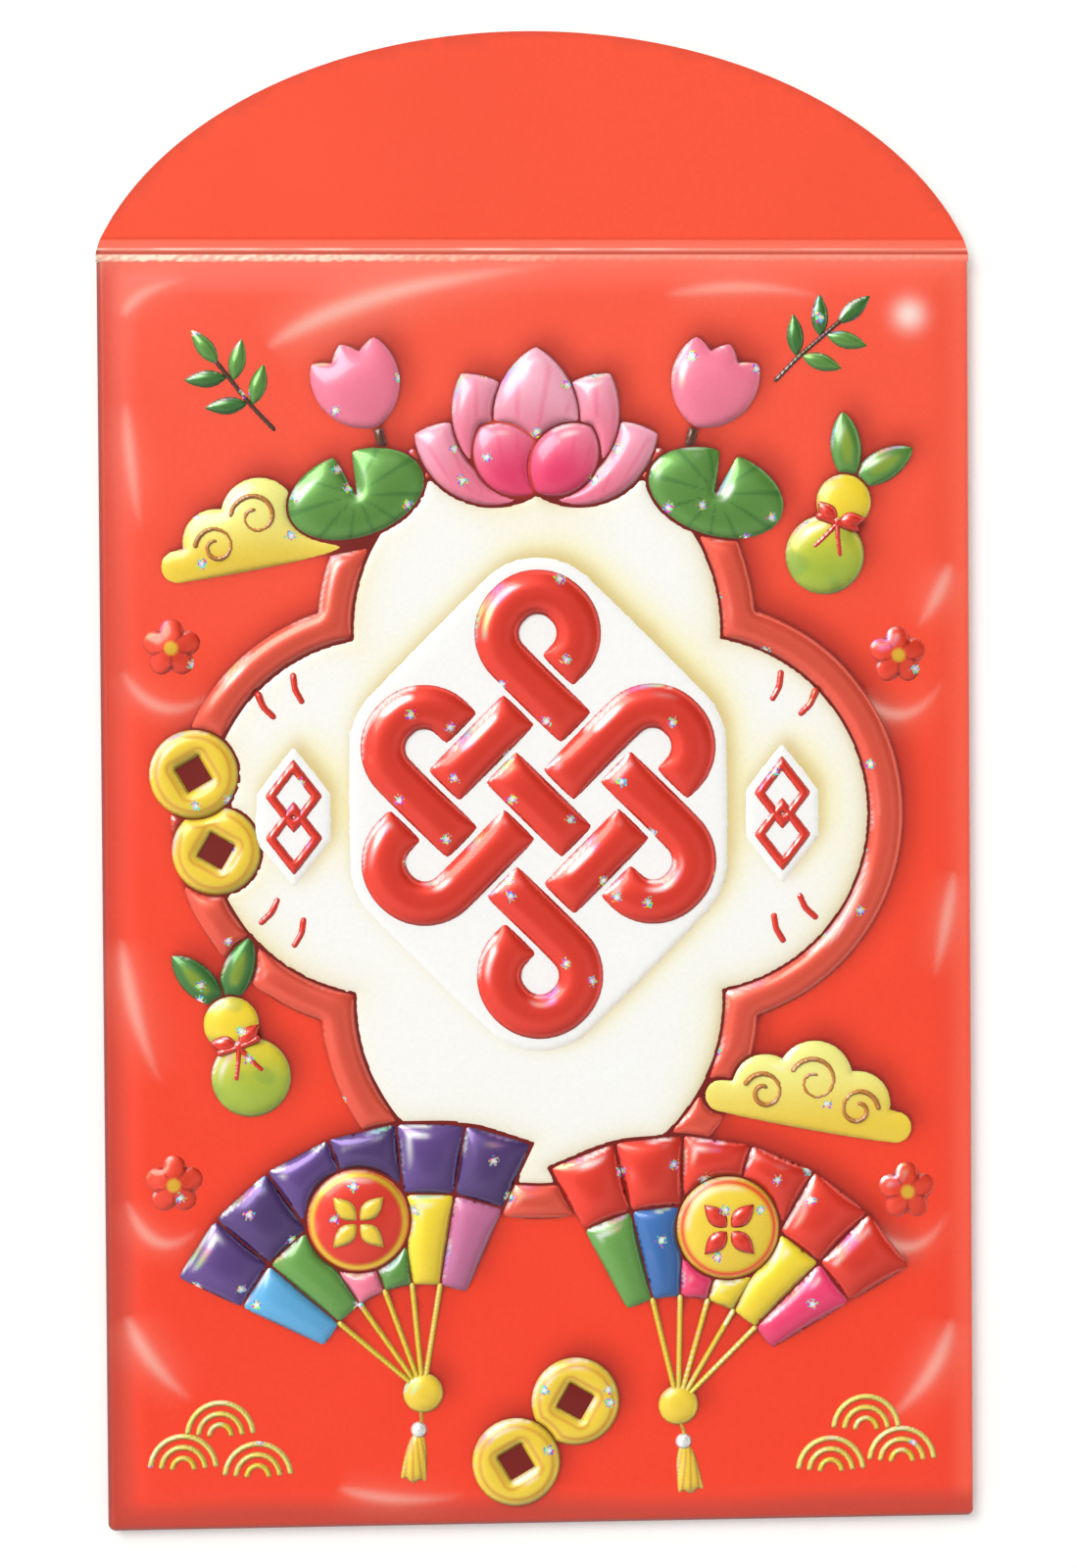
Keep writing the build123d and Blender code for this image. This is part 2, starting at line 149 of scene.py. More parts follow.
def smooth(x, low, high):
    """0 below low, 1 above high, a smooth rise between."""
    t = np.clip((np.asarray(x, float) - low) / (high - low), 0, 1)
    return t * t * (3 - 2 * t)


def mixed(a, b, share):
    """Colour a with a share of b at each point."""
    share = np.asarray(share, float)[:, None]
    return a * (1 - share) + b * share


def layered(base, *coats):
    """A colour under coats, each a colour and its share at each point."""
    for colour, share in coats:
        base = mixed(base, colour, share)
    return base


def bell(x, width):
    """1 at zero, falling away smoothly on both sides."""
    return np.exp(-((x / width) ** 2))


def waves(u, v, scale, seed):
    """An uneven field from -1 to 1 that changes over the given distance."""
    rng = np.random.default_rng(seed)
    total = 0.0
    for turn, phase, stretch in rng.random((7, 3)):
        angle = turn * math.tau
        step = math.tau / (scale * (0.7 + 0.9 * stretch))
        total = total + np.sin((u * math.cos(angle) + v * math.sin(angle)) * step + phase * math.tau)
    return np.clip(total / 4, -1, 1)


def tree_of(points):
    """A search tree over points in the plane."""
    tree = KDTree(len(points))
    for place, (u, v) in enumerate(points):
        tree.insert((u, v, 0), place)
    tree.balance()
    return tree


def nearest(points, tree):
    """Distance from each point to the tree's nearest one."""
    found = np.array([tree.find((u, v, 0))[0][:2] for u, v in points])
    return np.hypot(*(points - found).T)


def footprints(name):
    """A node's solids at its lowest face, each a list of closed loops, largest first."""
    mesh = frame["nodes"][name].data
    mesh.calc_loop_triangles()
    co = np.array([v.co for v in mesh.vertices]) / MM
    co[:, 1] -= PANEL_Y
    triangles = np.array([t.vertices[:] for t in mesh.loop_triangles])
    level = co[:, 2].min() + 1e-3
    triangles = triangles[(co[triangles][:, :, 2] < level).all(1)]
    follow = {}
    for a, b, c in triangles:
        for edge in ((a, b), (b, c), (c, a)):
            if not follow.pop(edge[::-1], False):
                follow[edge] = True
    onward = {a: b for a, b in follow}
    loops = []
    while onward:
        start, at = onward.popitem()
        loop = [start]
        while at != start:
            loop.append(at)
            at = onward.pop(at)
        loops.append(co[loop, :2])
    loops.sort(key=lambda loop: -abs(area(loop)))
    solids = []
    for loop in loops:
        home = next((s for s in solids if inside(loop[:1], s[:1])[0]), [])
        if not home:
            solids.append(home)
        home.append(loop)
    return solids


def crossed(a, b):
    """Twice the area between each row of a and the same row of b."""
    return a[:, 0] * b[:, 1] - a[:, 1] * b[:, 0]


def area(loop):
    """Signed area of a loop."""
    return 0.5 * float(np.sum(crossed(loop, np.roll(loop, -1, 0))))


def inside(points, loops):
    """Which points lie inside loops, where a loop in a loop is a hole."""
    odd = np.zeros(len(points), bool)
    for loop in loops:
        a, b = loop, np.roll(loop, -1, 0)
        for first in range(0, len(points), CHUNK):
            part = points[first : first + CHUNK]
            x, y = part[:, :1], part[:, 1:]
            crosses = (a[:, 1] > y) != (b[:, 1] > y)
            rise = np.where(a[:, 1] == b[:, 1], 1e-12, b[:, 1] - a[:, 1])
            at = a[:, 0] + (y - a[:, 1]) * (b[:, 0] - a[:, 0]) / rise
            odd[first : first + CHUNK] ^= (crosses & (x < at)).sum(1) % 2 == 1
    return odd


def unit(rows):
    """Each row scaled to a length of one."""
    return rows / np.maximum(np.linalg.norm(rows, axis=1), 1e-12)[:, None]


def resampled(loop, step):
    """A loop with points about one step apart, curved between its corners."""
    into, out = loop - np.roll(loop, 1, 0), np.roll(loop, -1, 0) - loop
    turn = np.abs(np.arctan2(crossed(into, out), (into * out).sum(1)))
    corner = (turn > CORNER_TURN)[:, None]
    along = unit(unit(into) + unit(out))
    leaving, arriving = np.where(corner, unit(out), along), np.where(corner, unit(into), along)
    points = []
    for i in range(len(loop)):
        j = (i + 1) % len(loop)
        length = np.linalg.norm(loop[j] - loop[i])
        count = max(1, round(length / step))
        start, stop = leaving[i] * length, arriving[j] * length
        for t in np.arange(count) / count:
            points.append(
                (2 * t**3 - 3 * t**2 + 1) * loop[i]
                + (t**3 - 2 * t**2 + t) * start
                + (3 * t**2 - 2 * t**3) * loop[j]
                + (t**3 - t**2) * stop
            )
    kept = [points[0]]
    for point in points[1:]:
        if np.hypot(*(point - kept[-1])) > step * SPARE_SHARE:
            kept.append(point)
    if len(kept) > 3 and np.hypot(*(kept[-1] - kept[0])) < step * SPARE_SHARE:
        kept.pop()
    return np.array(kept)


def filled(loops, step):
    """An even net inside loops: points, triangles, and each point's distance to the edge."""
    loops = [resampled(loop, step) for loop in loops]
    rim = np.concatenate(loops)
    edges, first = [], 0
    for loop in loops:
        edges += [(first + i, first + (i + 1) % len(loop)) for i in range(len(loop))]
        first += len(loop)
    low, high = rim.min(0), rim.max(0)
    grid = []
    for place, y in enumerate(np.arange(low[1], high[1], step * ROW_SHARE)):
        grid += [(x, y) for x in np.arange(low[0] + (place % 2) * step / 2, high[0], step)]
    grid = np.array(grid)
    grid = grid[inside(grid, loops)]
    tree = tree_of(rim)
    if len(grid):
        grid = grid[nearest(grid, tree) > step * RIM_SHARE]
    points = [Vector(p) for p in np.concatenate([rim, grid])]
    made = delaunay_2d_cdt(points, edges, [], 0, 1e-7)
    points = np.array([p[:] for p in made[0]])
    triangles = np.array([f[:] for f in made[2] if len(f) == 3])
    triangles = triangles[inside(points[triangles].mean(1), loops)]
    corners = points[triangles]
    under = crossed(corners[:, 1] - corners[:, 0], corners[:, 2] - corners[:, 0]) < 0
    triangles[under] = triangles[under][:, ::-1]
    distance = nearest(points, tree)
    distance[distance < 1e-4] = 0
    return points, triangles, distance


def swelling(points, triangles, rim):
    """How high a thin skin fixed at its rim swells at each point: half round over a strip."""
    n = len(points)
    i, j, k = np.concatenate([np.roll(triangles, -place, 1) for place in range(3)]).T
    p, q = points[i] - points[k], points[j] - points[k]
    size = np.abs(crossed(p, q)) + 1e-9
    w = np.clip(0.5 * (p * q).sum(1) / size, 0.01, 5)
    mass = np.bincount(k, size / 6, n)
    diagonal = np.bincount(i, w, n) + np.bincount(j, w, n)

    def pull(x):
        y = diagonal * x - np.bincount(i, w * x[j], n) - np.bincount(j, w * x[i], n)
        y[rim] = 0
        return y

    x = np.zeros(n)
    left = np.where(rim, 0, mass)
    scaled = left / diagonal
    ahead, size = scaled.copy(), float(left @ scaled)
    for _ in range(500):
        pulled = pull(ahead)
        share = size / max(float(ahead @ pulled), 1e-30)
        x += share * ahead
        left = left - share * pulled
        scaled = left / diagonal
        grown = float(left @ scaled)
        if grown < 1e-12:
            break
        ahead = scaled + grown / size * ahead
        size = grown
    return np.sqrt(np.maximum(2 * x, 0))


def normals_of(co, triangles):
    """Smooth normals of a net of triangles."""
    corners = co[triangles]
    face = np.cross(corners[:, 1] - corners[:, 0], corners[:, 2] - corners[:, 0])
    total = np.zeros_like(co)
    for place in range(3):
        np.add.at(total, triangles[:, place], face)
    return unit(total)


def new_object(name, data):
    """A new object in the scene."""
    made = bpy.data.objects.new(name, data)
    bpy.context.scene.collection.objects.link(made)
    return made


def made_mesh(name, co, faces, colours, materials, kinds=None):
    """A smooth mesh piece from points in millimetres and print colours."""
    mesh = bpy.data.meshes.new(name)
    placed = np.asarray(co, float) * MM
    placed[:, 1] += PANEL_Y * MM
    mesh.from_pydata(placed.tolist(), [], [list(map(int, f)) for f in faces])
    for material in materials:
        mesh.materials.append(material)
    if kinds is not None:
        mesh.polygons.foreach_set("material_index", np.asarray(kinds, np.int32))
    mesh.polygons.foreach_set("use_smooth", np.ones(len(mesh.polygons), bool))
    layer = mesh.attributes.new("print", "FLOAT_COLOR", "POINT")
    rgba = np.c_[np.clip(colours, 0, 1), np.ones(len(placed))].astype(np.float32)
    layer.data.foreach_set("color", rgba.ravel())
    mesh.update()
    return new_object(name, mesh)


def carried(piece, body, slot, *nodes):
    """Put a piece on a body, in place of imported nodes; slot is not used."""
    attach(piece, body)
    if nodes:
        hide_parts(*nodes)


# Materials: paper and raised print
class Nodes:
    """The nodes of a material or a world."""

    def __init__(self, owner):
        owner.use_nodes = True
        self.nodes = owner.node_tree.nodes
        self.links = owner.node_tree.links

    def put(self, node, values):
        """Join outputs to a node's inputs, or set plain values on it."""
        for key, value in values.items():
            if isinstance(value, bpy.types.NodeSocket):
                self.links.new(value, node.inputs[key])
            elif isinstance(key, int) or key in node.inputs:
                node.inputs[key].default_value = value
            else:
                setattr(node, key, value)
        return node

    def add(self, kind, **values):
        """A new node with its values."""
        return self.put(self.nodes.new(kind), values)

    def work(self, operation, *values):
        """One step of arithmetic."""
        node = self.add("ShaderNodeMath", operation=operation)
        return self.put(node, dict(enumerate(values))).outputs["Value"]

    def spread(self, source, low, high, start=0.0, stop=1.0, **how):
        """A value from start to stop, spread between low and high."""
        ends = {"Value": source, "From Min": start, "From Max": stop, "To Min": low, "To Max": high}
        return self.add("ShaderNodeMapRange", **how, **ends).outputs["Result"]

    def place(self):
        """Places on the object."""
        return self.add("ShaderNodeTexCoord").outputs["Object"]

    def grain(self, scale, detail=3.0):
        """Fine noise fixed to the object."""
        return self.add("ShaderNodeTexNoise", Vector=self.place(), Scale=scale, Detail=detail).outputs["Fac"]

    def bump(self, height, strength, distance):
        """Normals with fine bumps."""
        node = self.add("ShaderNodeBump", Height=height, Strength=strength, Distance=distance)
        return node.outputs["Normal"]


def new_material(name):
    """A new material, its nodes and its surface."""
    material = bpy.data.materials.new(name)
    nodes = Nodes(material)
    return material, nodes, nodes.nodes["Principled BSDF"]


def glints_over(nodes, colour, share):
    """The colour with sparse painted glints: rainbow spots of light from the foil, painted into the colour.
    """
    place = nodes.place()
    spots = nodes.add("ShaderNodeTexVoronoi", voronoi_dimensions="2D", Scale=GLINTS_PER_M, Vector=place)
    heart = nodes.spread(spots.outputs["Distance"], 1.0, 0.0, 0.0, GLINT_SIZE * GLINTS_PER_M)
    chance = nodes.add("ShaderNodeSeparateColor", Color=spots.outputs["Color"])
    chosen = nodes.work("LESS_THAN", chance.outputs["Red"], share)
    ragged = nodes.work("MULTIPLY_ADD", heart, 1.1, nodes.grain(4200.0, 0.0))
    amount = nodes.work("MULTIPLY", chosen, nodes.spread(ragged, 0.0, 1.0, 0.98, 1.16))
    turn = nodes.work("MULTIPLY_ADD", nodes.grain(2600.0, 0.0), 3.0, chance.outputs["Green"])
    turn = nodes.work("FRACT", turn)
    pale = nodes.spread(heart, 1.0, 0.0, 0.6, 0.94)
    hue = nodes.add("ShaderNodeCombineColor", mode="HSV", Red=turn, Green=pale, Blue=1.0).outputs["Color"]
    return nodes.add("ShaderNodeMix", data_type="RGBA", Factor=amount, A=colour, B=hue).outputs["Result"]


def print_material(name, rough, coat, depth, glints=0.0, foil=0.0, shine=0.5):
    """Printed paper: its colours with fine grain, uneven varnish and sparse painted glints."""
    material, nodes, surface = new_material(name)
    fine = nodes.grain(2600.0)
    value = nodes.spread(fine, 0.95, 1.05)
    grey = nodes.add("ShaderNodeCombineColor", Red=value, Green=value, Blue=value).outputs["Color"]
    colour = nodes.add("ShaderNodeAttribute", attribute_name="print").outputs["Color"]
    tone = nodes.add("ShaderNodeMix", data_type="RGBA", blend_type="MULTIPLY", Factor=1.0, A=colour, B=grey)
    colour = tone.outputs["Result"]
    if glints:
        colour = glints_over(nodes, colour, glints)
    nodes.put(surface, {
        "Base Color": colour,
        "Roughness": nodes.spread(nodes.grain(160.0), rough * 0.8, rough * 1.2),
        "Normal": nodes.bump(fine, depth, 0.00004),
        "Metallic": foil,
        "Specular IOR Level": shine,
        "Coat Weight": coat,
        "Coat Roughness": 0.07,
    })
    return material


def paper_material(name, colour, depth):
    """Plain paper: fibres in one tone."""
    material, nodes, surface = new_material(name)
    fine = nodes.grain(1400.0, 6.0)
    shades = nodes.add("ShaderNodeValToRGB", Fac=fine)
    ends = ((0.3, colour * 0.88), (0.7, np.minimum(colour * 1.06, 1)))
    for element, (position, tone) in zip(shades.color_ramp.elements, ends):
        element.color = (*tone, 1)
        element.position = position
    nodes.put(surface, {
        "Base Color": shades.outputs["Color"],
        "Roughness": nodes.spread(fine, 0.55, 0.75),
        "Normal": nodes.bump(fine, depth, 0.00005),
    })
    return material


varnish = print_material("varnished_front", rough=0.32, coat=0.12, depth=0.06, shine=0.36)
gloss = print_material("raised_gloss", rough=0.26, coat=0.45, depth=0.03, glints=0.6, foil=0.42)
bright = print_material("bright_gloss", rough=0.26, coat=0.45, depth=0.03, glints=0.6, foil=0.1)
satin = print_material("pale_gloss", rough=0.3, coat=0.35, depth=0.03)
matte = print_material("matt_red", rough=0.62, coat=0.0, depth=0.2, shine=0.25)
plain_red = paper_material("matt_red_back", RED_FLAP, 0.2)
white_paper = paper_material("bare_paper", srgb(244, 241, 234), 0.3)
glue_film = paper_material("dried_glue", srgb(232, 224, 196), 0.15)


# Print shading
def rainbow(u, v):
    """Pale colours of the painted highlights, changing across the foil."""
    turn = (u * 0.7 + v * 0.45) / 4.5
    return 0.66 + 0.34 * np.cos(math.tau * (turn[:, None] + np.array([0, 1 / 3, 2 / 3])))


def shaded(base, spot, shine, edge, seed):
    """Shade as if puffed: dark outline and lower side, broken rim light, soft inner light."""
    u, v = spot["points"].T
    d, lean = spot["distance"], spot["normals"][:, :2]
    facing = lean @ PRINT_LIGHT
    broken = 0.5 + 0.5 * waves(u, v, 6.0, seed)
    light = mixed(WHITE, rainbow(u, v), smooth(waves(u, v, 5.0, seed + 500), 0.0, 0.5))
    rim = smooth(facing, 0.3, 0.52) * smooth(d, 0.12, 0.24) * (1 - smooth(d, 0.36, 0.6))
    inner = bell(d - 1.05, 0.26) * smooth(facing, 0.1, 0.24)
    return layered(
        base * (1 + 0.3 * np.clip(facing, -1, 1))[:, None],
        (base * 0.34, 0.85 * smooth(lean @ SHADE_BELOW, 0.25, 0.72)),
        (base * 0.38, 0.6 * smooth(lean @ SHADE_RIGHT, 0.38, 0.75)),
        (base * 0.16, edge * (1 - smooth(d, 0.05, 0.28))),
        (light, shine * rim * smooth(broken, 0.25, 0.5)),
        (light, 0.8 * shine * inner * smooth(broken, 0.42, 0.72)),
    )


def in_colour(colour, shine, edge, seed, alike=False):
    """A paint in one colour; the light breaks in its own way on each shape unless alike."""
    return lambda place, spot: shaded(colour, spot, shine, edge, seed if alike else seed + place)


def printed(name, solids, step, heights, paint, material, slot, nodes):
    """One piece on the pouch: a net over each solid, with its heights and painted colours."""
    co, faces, colours, first = [], [], [], 0
    for place, loops in enumerate(solids):
        points, triangles, distance = filled(loops, step)
        co.append(np.c_[points, heights(points, triangles, distance)])
        faces.append(triangles + first)
        spot = {"points": points, "distance": distance, "normals": normals_of(co[-1], triangles)}
        colours.append(paint(place, spot))
        first += len(points)
    co, faces, colours = map(np.concatenate, (co, faces, colours))
    carried(made_mesh(name, co, faces, colours, [material]), "pouch", slot, *nodes)


def raised(name, solids, paint, slot, height, level=None, nodes=(), step=PRINT_STEP, lift=0.8, bulge=1.3):
    """One piece of swollen shapes on a level or, if None, on the front sheet."""

    def heights(points, triangles, distance):
        swell = swelling(points, triangles, distance == 0)
        crest = height * (1 - np.exp(-lift * swell.max() / height))
        foot = (FACE_Z if level is None else level) - SINK
        z = foot + (crest + SINK) * (swell / swell.max()) ** bulge
        return z + sheet_z(points) if level is None else z

    material = bright if slot in BRIGHT_SLOTS else gloss
    printed(name, solids, step, heights, paint, material, slot, nodes)


def raised_node(name, node, paint, height, step=PRINT_STEP, level=RELIEF_Z):
    """A packed ornament as one piece of swollen shapes."""
    raised(name, footprints(node), paint, NODE_SLOTS[node], height, level, [node], step)


def low_plate(name, solids, paint, slot, level, height, width, step, nodes=()):
    """One piece of flat plates with rounded edges."""

    def heights(points, triangles, distance):
        return level - SINK + (height + SINK) * (1 - np.exp(-distance / width))

    printed(name, solids, step, heights, paint, satin, slot, nodes)


# Small ornaments that are drawn here
def turned(loop, u, v, angle):
    """A loop turned by degrees and moved to a place."""
    c, s = math.cos(math.radians(angle)), math.sin(math.radians(angle))
    return loop @ np.array([[c, s], [-s, c]]) + (u, v)


def leaf(length, width):
    """A leaf from the origin along +v."""
    t = np.linspace(0, 1, 25)
    side = width / 2 * np.sin(np.pi * t**0.85)
    return np.concatenate([np.c_[side, length * t], np.c_[-side, length * t][-2:0:-1]])


def ribbon(points, width):
    """A strip of even width along a smooth line, round at its ends."""
    points = np.array(points, float)
    t = np.linspace(0, len(points) - 1, 12 * (len(points) - 1) + 1)
    line = np.array([np.interp(t, np.arange(len(points)), column) for column in points.T]).T
    for _ in range(8):
        line[1:-1] = (line[:-2] + 2 * line[1:-1] + line[2:]) / 4
    ahead = unit(np.gradient(line, axis=0))
    across = np.c_[-ahead[:, 1], ahead[:, 0]] * width / 2
    turn = np.linspace(-math.pi / 2, math.pi / 2, 7)[1:-1]
    tip = [line[-1] + ahead[-1] * math.cos(a) * width / 2 + across[-1] * math.sin(a) for a in -turn]
    tail = [line[0] - ahead[0] * math.cos(a) * width / 2 + across[0] * math.sin(a) for a in turn]
    return np.concatenate([line + across, tip, (line - across)[::-1], tail])


def ring_of(radius, count=40):
    """A circle."""
    t = np.arange(count) / count * math.tau
    return radius * np.c_[np.cos(t), np.sin(t)]


def blossom(radius, petals=5, away=0.58, petal=0.42):
    """A flower of round petals; away and petal are shares of its radius."""
    t = np.arange(150) / 150 * math.tau
    part = (t + math.pi / petals) % (math.tau / petals) - math.pi / petals
    r = radius * (away * np.cos(part) + np.sqrt(petal**2 - (away * np.sin(part)) ** 2))
    return np.c_[r * np.sin(t), r * np.cos(t)]


# The front sheet's height, and the soft light and shade printed on it
SHADE_MARGIN = 6


def soft_shadow(loops, shift, blur, cell=0.25):
    """A way to read, at any point, the blurred shade of outlines moved aside."""
    low = -np.array([HALF_W, HALF_H]) - SHADE_MARGIN
    wide, tall = (round(-2 * start / cell) for start in low)
    cover = np.zeros((wide, tall))
    for loop in loops:
        a = np.maximum(((loop.min(0) + shift - low) / cell).astype(int), 0)
        b = np.minimum(((loop.max(0) + shift - low) / cell).astype(int) + 1, (wide - 1, tall - 1))
        spans = [np.arange(first, last + 1) for first, last in zip(a, b)]
        grid = np.stack(np.meshgrid(*spans, indexing="ij"), -1)
        hit = inside((grid.reshape(-1, 2) + 0.5) * cell + low - shift, [loop]).reshape(grid.shape[:2])
        part = cover[a[0] : b[0] + 1, a[1] : b[1] + 1]
        part[hit] = 1
    reach = math.ceil(3 * blur / cell)
    kernel = np.exp(-0.5 * (np.arange(-reach, reach + 1) * cell / blur) ** 2)
    kernel /= kernel.sum()
    for axis in (0, 1):
        cover = np.apply_along_axis(lambda line: np.convolve(line, kernel, "same"), axis, cover)

    def read(points):
        at = np.clip((points - low) / cell - 0.5, 0, (wide - 1.001, tall - 1.001))
        i, j = at.astype(int).T
        s, t = (at - at.astype(int)).T
        here = cover[i, j] * (1 - s) * (1 - t) + cover[i + 1, j] * s * (1 - t)
        return here + cover[i, j + 1] * (1 - s) * t + cover[i + 1, j + 1] * s * t

    return read


relief_nodes = [n for n in frame["nodes"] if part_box(n)[0].z / MM > RELIEF_Z - 0.01]
rims = [resampled(loop, 0.12) for n in relief_nodes for loops in footprints(n) for loop in loops[:1]]
motif_tree = tree_of(np.concatenate(rims))
cast_shade = soft_shadow(rims, shift=(0.9, 1.1), blur=1.1)
close_shade = soft_shadow(rims, shift=(0.1, 0.15), blur=0.35)


def sheet_z(points):
    """Height of the pillow and its uneven swelling over the front's edges."""
    u, v = points.T
    across, along = HALF_W - np.abs(u), HALF_H - np.abs(v)
    edge = np.minimum(across, along) - 0.6 * np.exp(-np.abs(across - along) / 1.5)
    rise = (RELIEF_Z - FACE_Z) * smooth(edge, 0.6, 4.0)
    clear = smooth(nearest(points, motif_tree), 0.4, 4.0) * smooth(edge, 2.0, 6.0)
    return rise + 0.16 * clear * waves(u, v, 15.0, 11)


# Streaks of light: where each starts, bends and stops, its width and strength
STREAKS = (
    ((-24.5, 49.8), (-16.5, 55.6), (2.0, 57.4), 0.8, 0.75),
    ((-37.6, 52.6), (-36.6, 55.2), (-31.5, 56.2), 0.5, 0.4),
    ((38.2, 30.0), (37.0, 26.5), (35.0, 24.0), 0.6, 0.5),
    ((38.4, 1.5), (37.6, -4.0), (36.4, -8.5), 0.55, 0.5),
    ((-38.2, -4.0), (-37.6, -11.0), (-34.6, -17.5), 0.6, 0.55),
    ((-37.4, 45.0), (-37.0, 38.0), (-36.0, 33.0), 0.5, 0.4),
    ((-38.0, -38.5), (-36.5, -43.0), (-32.0, -46.5), 0.65, 0.6),
    ((38.0, -40.0), (36.8, -45.5), (31.5, -49.5), 0.65, 0.6),
    ((-19.0, -54.5), (-14.0, -56.5), (-7.0, -55.5), 0.5, 0.45),
    ((12.0, 54.6), (20.0, 56.2), (27.0, 54.2), 0.5, 0.4),
    ((-38.0, 20.5), (-34.5, 14.6), (-29.4, 18.6), 0.5, 0.45),
    ((29.6, 18.0), (34.0, 13.4), (37.6, 19.4), 0.5, 0.45),
    ((-38.0, -28.0), (-35.4, -34.4), (-31.2, -30.4), 0.5, 0.5),
    ((30.4, -31.4), (34.6, -35.8), (38.0, -29.6), 0.5, 0.45),
)
STREAK_POINTS = 121
CORNER_GLOW = (34.4, 52.8)


def front_print(points):
    """Red with painted shade on the left and lower edges and beside the ornaments, painted light on the top
    and right edges, and soft streaks of light.
    """
    u, v = points.T
    from_left, from_foot = u + HALF_W, v + HALF_H
    left = 1 - smooth(from_left + 0.4 * waves(u, v, 26, 3), 1.0, 3.3)
    foot = 1 - smooth(from_foot + 0.4 * waves(u, v, 30, 5), 1.2, 3.4)
    colour = layered(
        RED,
        (RED_TOP, smooth(v, 0, 52)),
        (RED_LOW, smooth(-v, 5, 45)),
        # Painted shade along the left and lower edges and on the folds, painted light along the top and
        # right edges
        (RED_EDGE_SHADE, (0.5 + 0.3 * smooth(-v, 0, 30)) * left),
        (FOLD_SHADE, 0.35 * (1 - smooth(from_left, 0.2, 0.9))),
        (TOP_LIGHT, 0.55 * np.exp(-(HALF_H - v) / 1.3)),
        (SIDE_LIGHT, 0.6 * (1 - smooth(HALF_W - u, 0.3, 3.0))),
        (RED_EDGE_SHADE, 0.85 * foot),
        (FOLD_SHADE, 0.3 * (1 - smooth(from_foot, 0.2, 0.7))),
        (FOLD_SHADE * 0.6, 0.6 * (1 - smooth(np.minimum(from_left, from_foot), 0.12, 0.5))),
        (RED_DARK, 0.78 * cast_shade(points)),
        (RED_DARK * 0.35, 0.75 * smooth(close_shade(points), 0.25, 0.9)),
    )
    for start, bend, stop, width, strength in STREAKS:
        t = np.linspace(0, 1, STREAK_POINTS)[:, None]
        line = (1 - t) ** 2 * start + 2 * t * (1 - t) * bend + t**2 * stop
        low, high = line.min(0) - 5, line.max(0) + 5
        near = np.flatnonzero(((points > low) & (points < high)).all(1))
        far = np.hypot(u[near, None] - line[:, 0], v[near, None] - line[:, 1])
        gap, taper = far.min(1), np.sin(np.pi * (far.argmin(1) / (STREAK_POINTS - 1)) ** 0.7)
        core = strength * bell(gap, width * (0.3 + 0.7 * taper)) * taper
        veil = 0.5 * strength * bell(gap, 3.2 * width) * taper
        colour[near] = layered(colour[near], (STREAK_LIGHT, core), (STREAK_VEIL, veil))
    glow = np.exp(-((u - CORNER_GLOW[0]) ** 2 + (v - CORNER_GLOW[1]) ** 2) / 1.9)
    return mixed(colour, CORNER_LIGHT, 0.85 * glow)


# Front sheet, up to the strip that holds the first score
left_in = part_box("left_fold")[1].x / MM
right_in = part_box("right_fold")[0].x / MM
bottom_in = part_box("bottom_fold")[1].y / MM - PANEL_Y
left, right, low, high = left_in - LAP, right_in + LAP, bottom_in - LAP, STRIP_START
outline = np.array([(left, low), (right, low), (right, high), (left, high)])
points, triangles, _ = filled([outline], FRONT_STEP)
co = np.c_[points, FACE_Z + sheet_z(points)]
front = made_mesh("front_sheet", co, triangles, front_print(points), [varnish, white_paper])


def sharpened(piece):
    """Keep cut edges sharp."""
    edge = piece.modifiers.new("edges", "EDGE_SPLIT")
    edge.split_angle = math.radians(50)


def thickened(piece):
    """Give a sheet its thickness below, bare inside and at its cut edges."""
    shell = piece.modifiers.new("paper", "SOLIDIFY")
    shell.thickness = PAPER * MM
    shell.offset = -1
    shell.material_offset = 1
    shell.material_offset_rim = 1
    sharpened(piece)
    return piece


carried(thickened(front), "pouch", "red_front", "front_panel")


def rolled_edge(name, node, stations):
    """A rolled fold, printed outside; a station has its place, way outward, reach and lowest level."""
    turns = np.linspace(0, math.pi, 17)
    co = []
    for (u, v), outward, reach, low in stations:
        across = reach * np.sin(turns)
        z = (FACE_Z + low) / 2 + (FACE_Z - low) / 2 * np.cos(turns)
        co.append(np.c_[u + outward[0] * across, v + outward[1] * across, z])
    co, n = np.concatenate(co), len(turns)
    starts = [a for i in range(len(stations) - 1) for a in range(i * n, i * n + n - 1)]
    faces = [(a, a + 1, a + 1 + n, a + n) for a in starts]
    piece = made_mesh(name, co, faces, front_print(co[:, :2]), [varnish, white_paper])
    carried(thickened(piece), "pouch", "red_plain", node)


def corner(place, first, second, start):
    """Stations that turn from one fold's reach and lowest level to the next one's."""
    out = []
    for share in np.linspace(0, 1, 10):
        turn = math.radians(start + 90 * share)
        reach, low = (a + (b - a) * share for a, b in zip(first, second))
        out.append((place, (math.cos(turn), math.sin(turn)), reach, low))
    return out


left_roll = (HALF_W + left_in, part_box("left_fold")[0].z / MM)
right_roll = (HALF_W - right_in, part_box("right_fold")[0].z / MM)
bottom_roll = (HALF_H + bottom_in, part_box("bottom_fold")[0].z / MM)
up = np.linspace(bottom_in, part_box("left_fold")[1].y / MM - PANEL_Y, 100)
along = np.linspace(left_in, right_in, 100)
rolled_edge("left_edge", "left_fold", [((left_in, v), (-1, 0), *left_roll) for v in up[::-1]])
rolled_edge("right_edge", "right_fold", [((right_in, v), (1, 0), *right_roll) for v in up])
rolled_edge(
    "bottom_edge", "bottom_fold",
    corner((left_in, bottom_in), left_roll, bottom_roll, 180)
    + [((u, bottom_in), (0, -1), *bottom_roll) for u in along[1:-1]]
    + corner((right_in, bottom_in), bottom_roll, right_roll, 270),
)

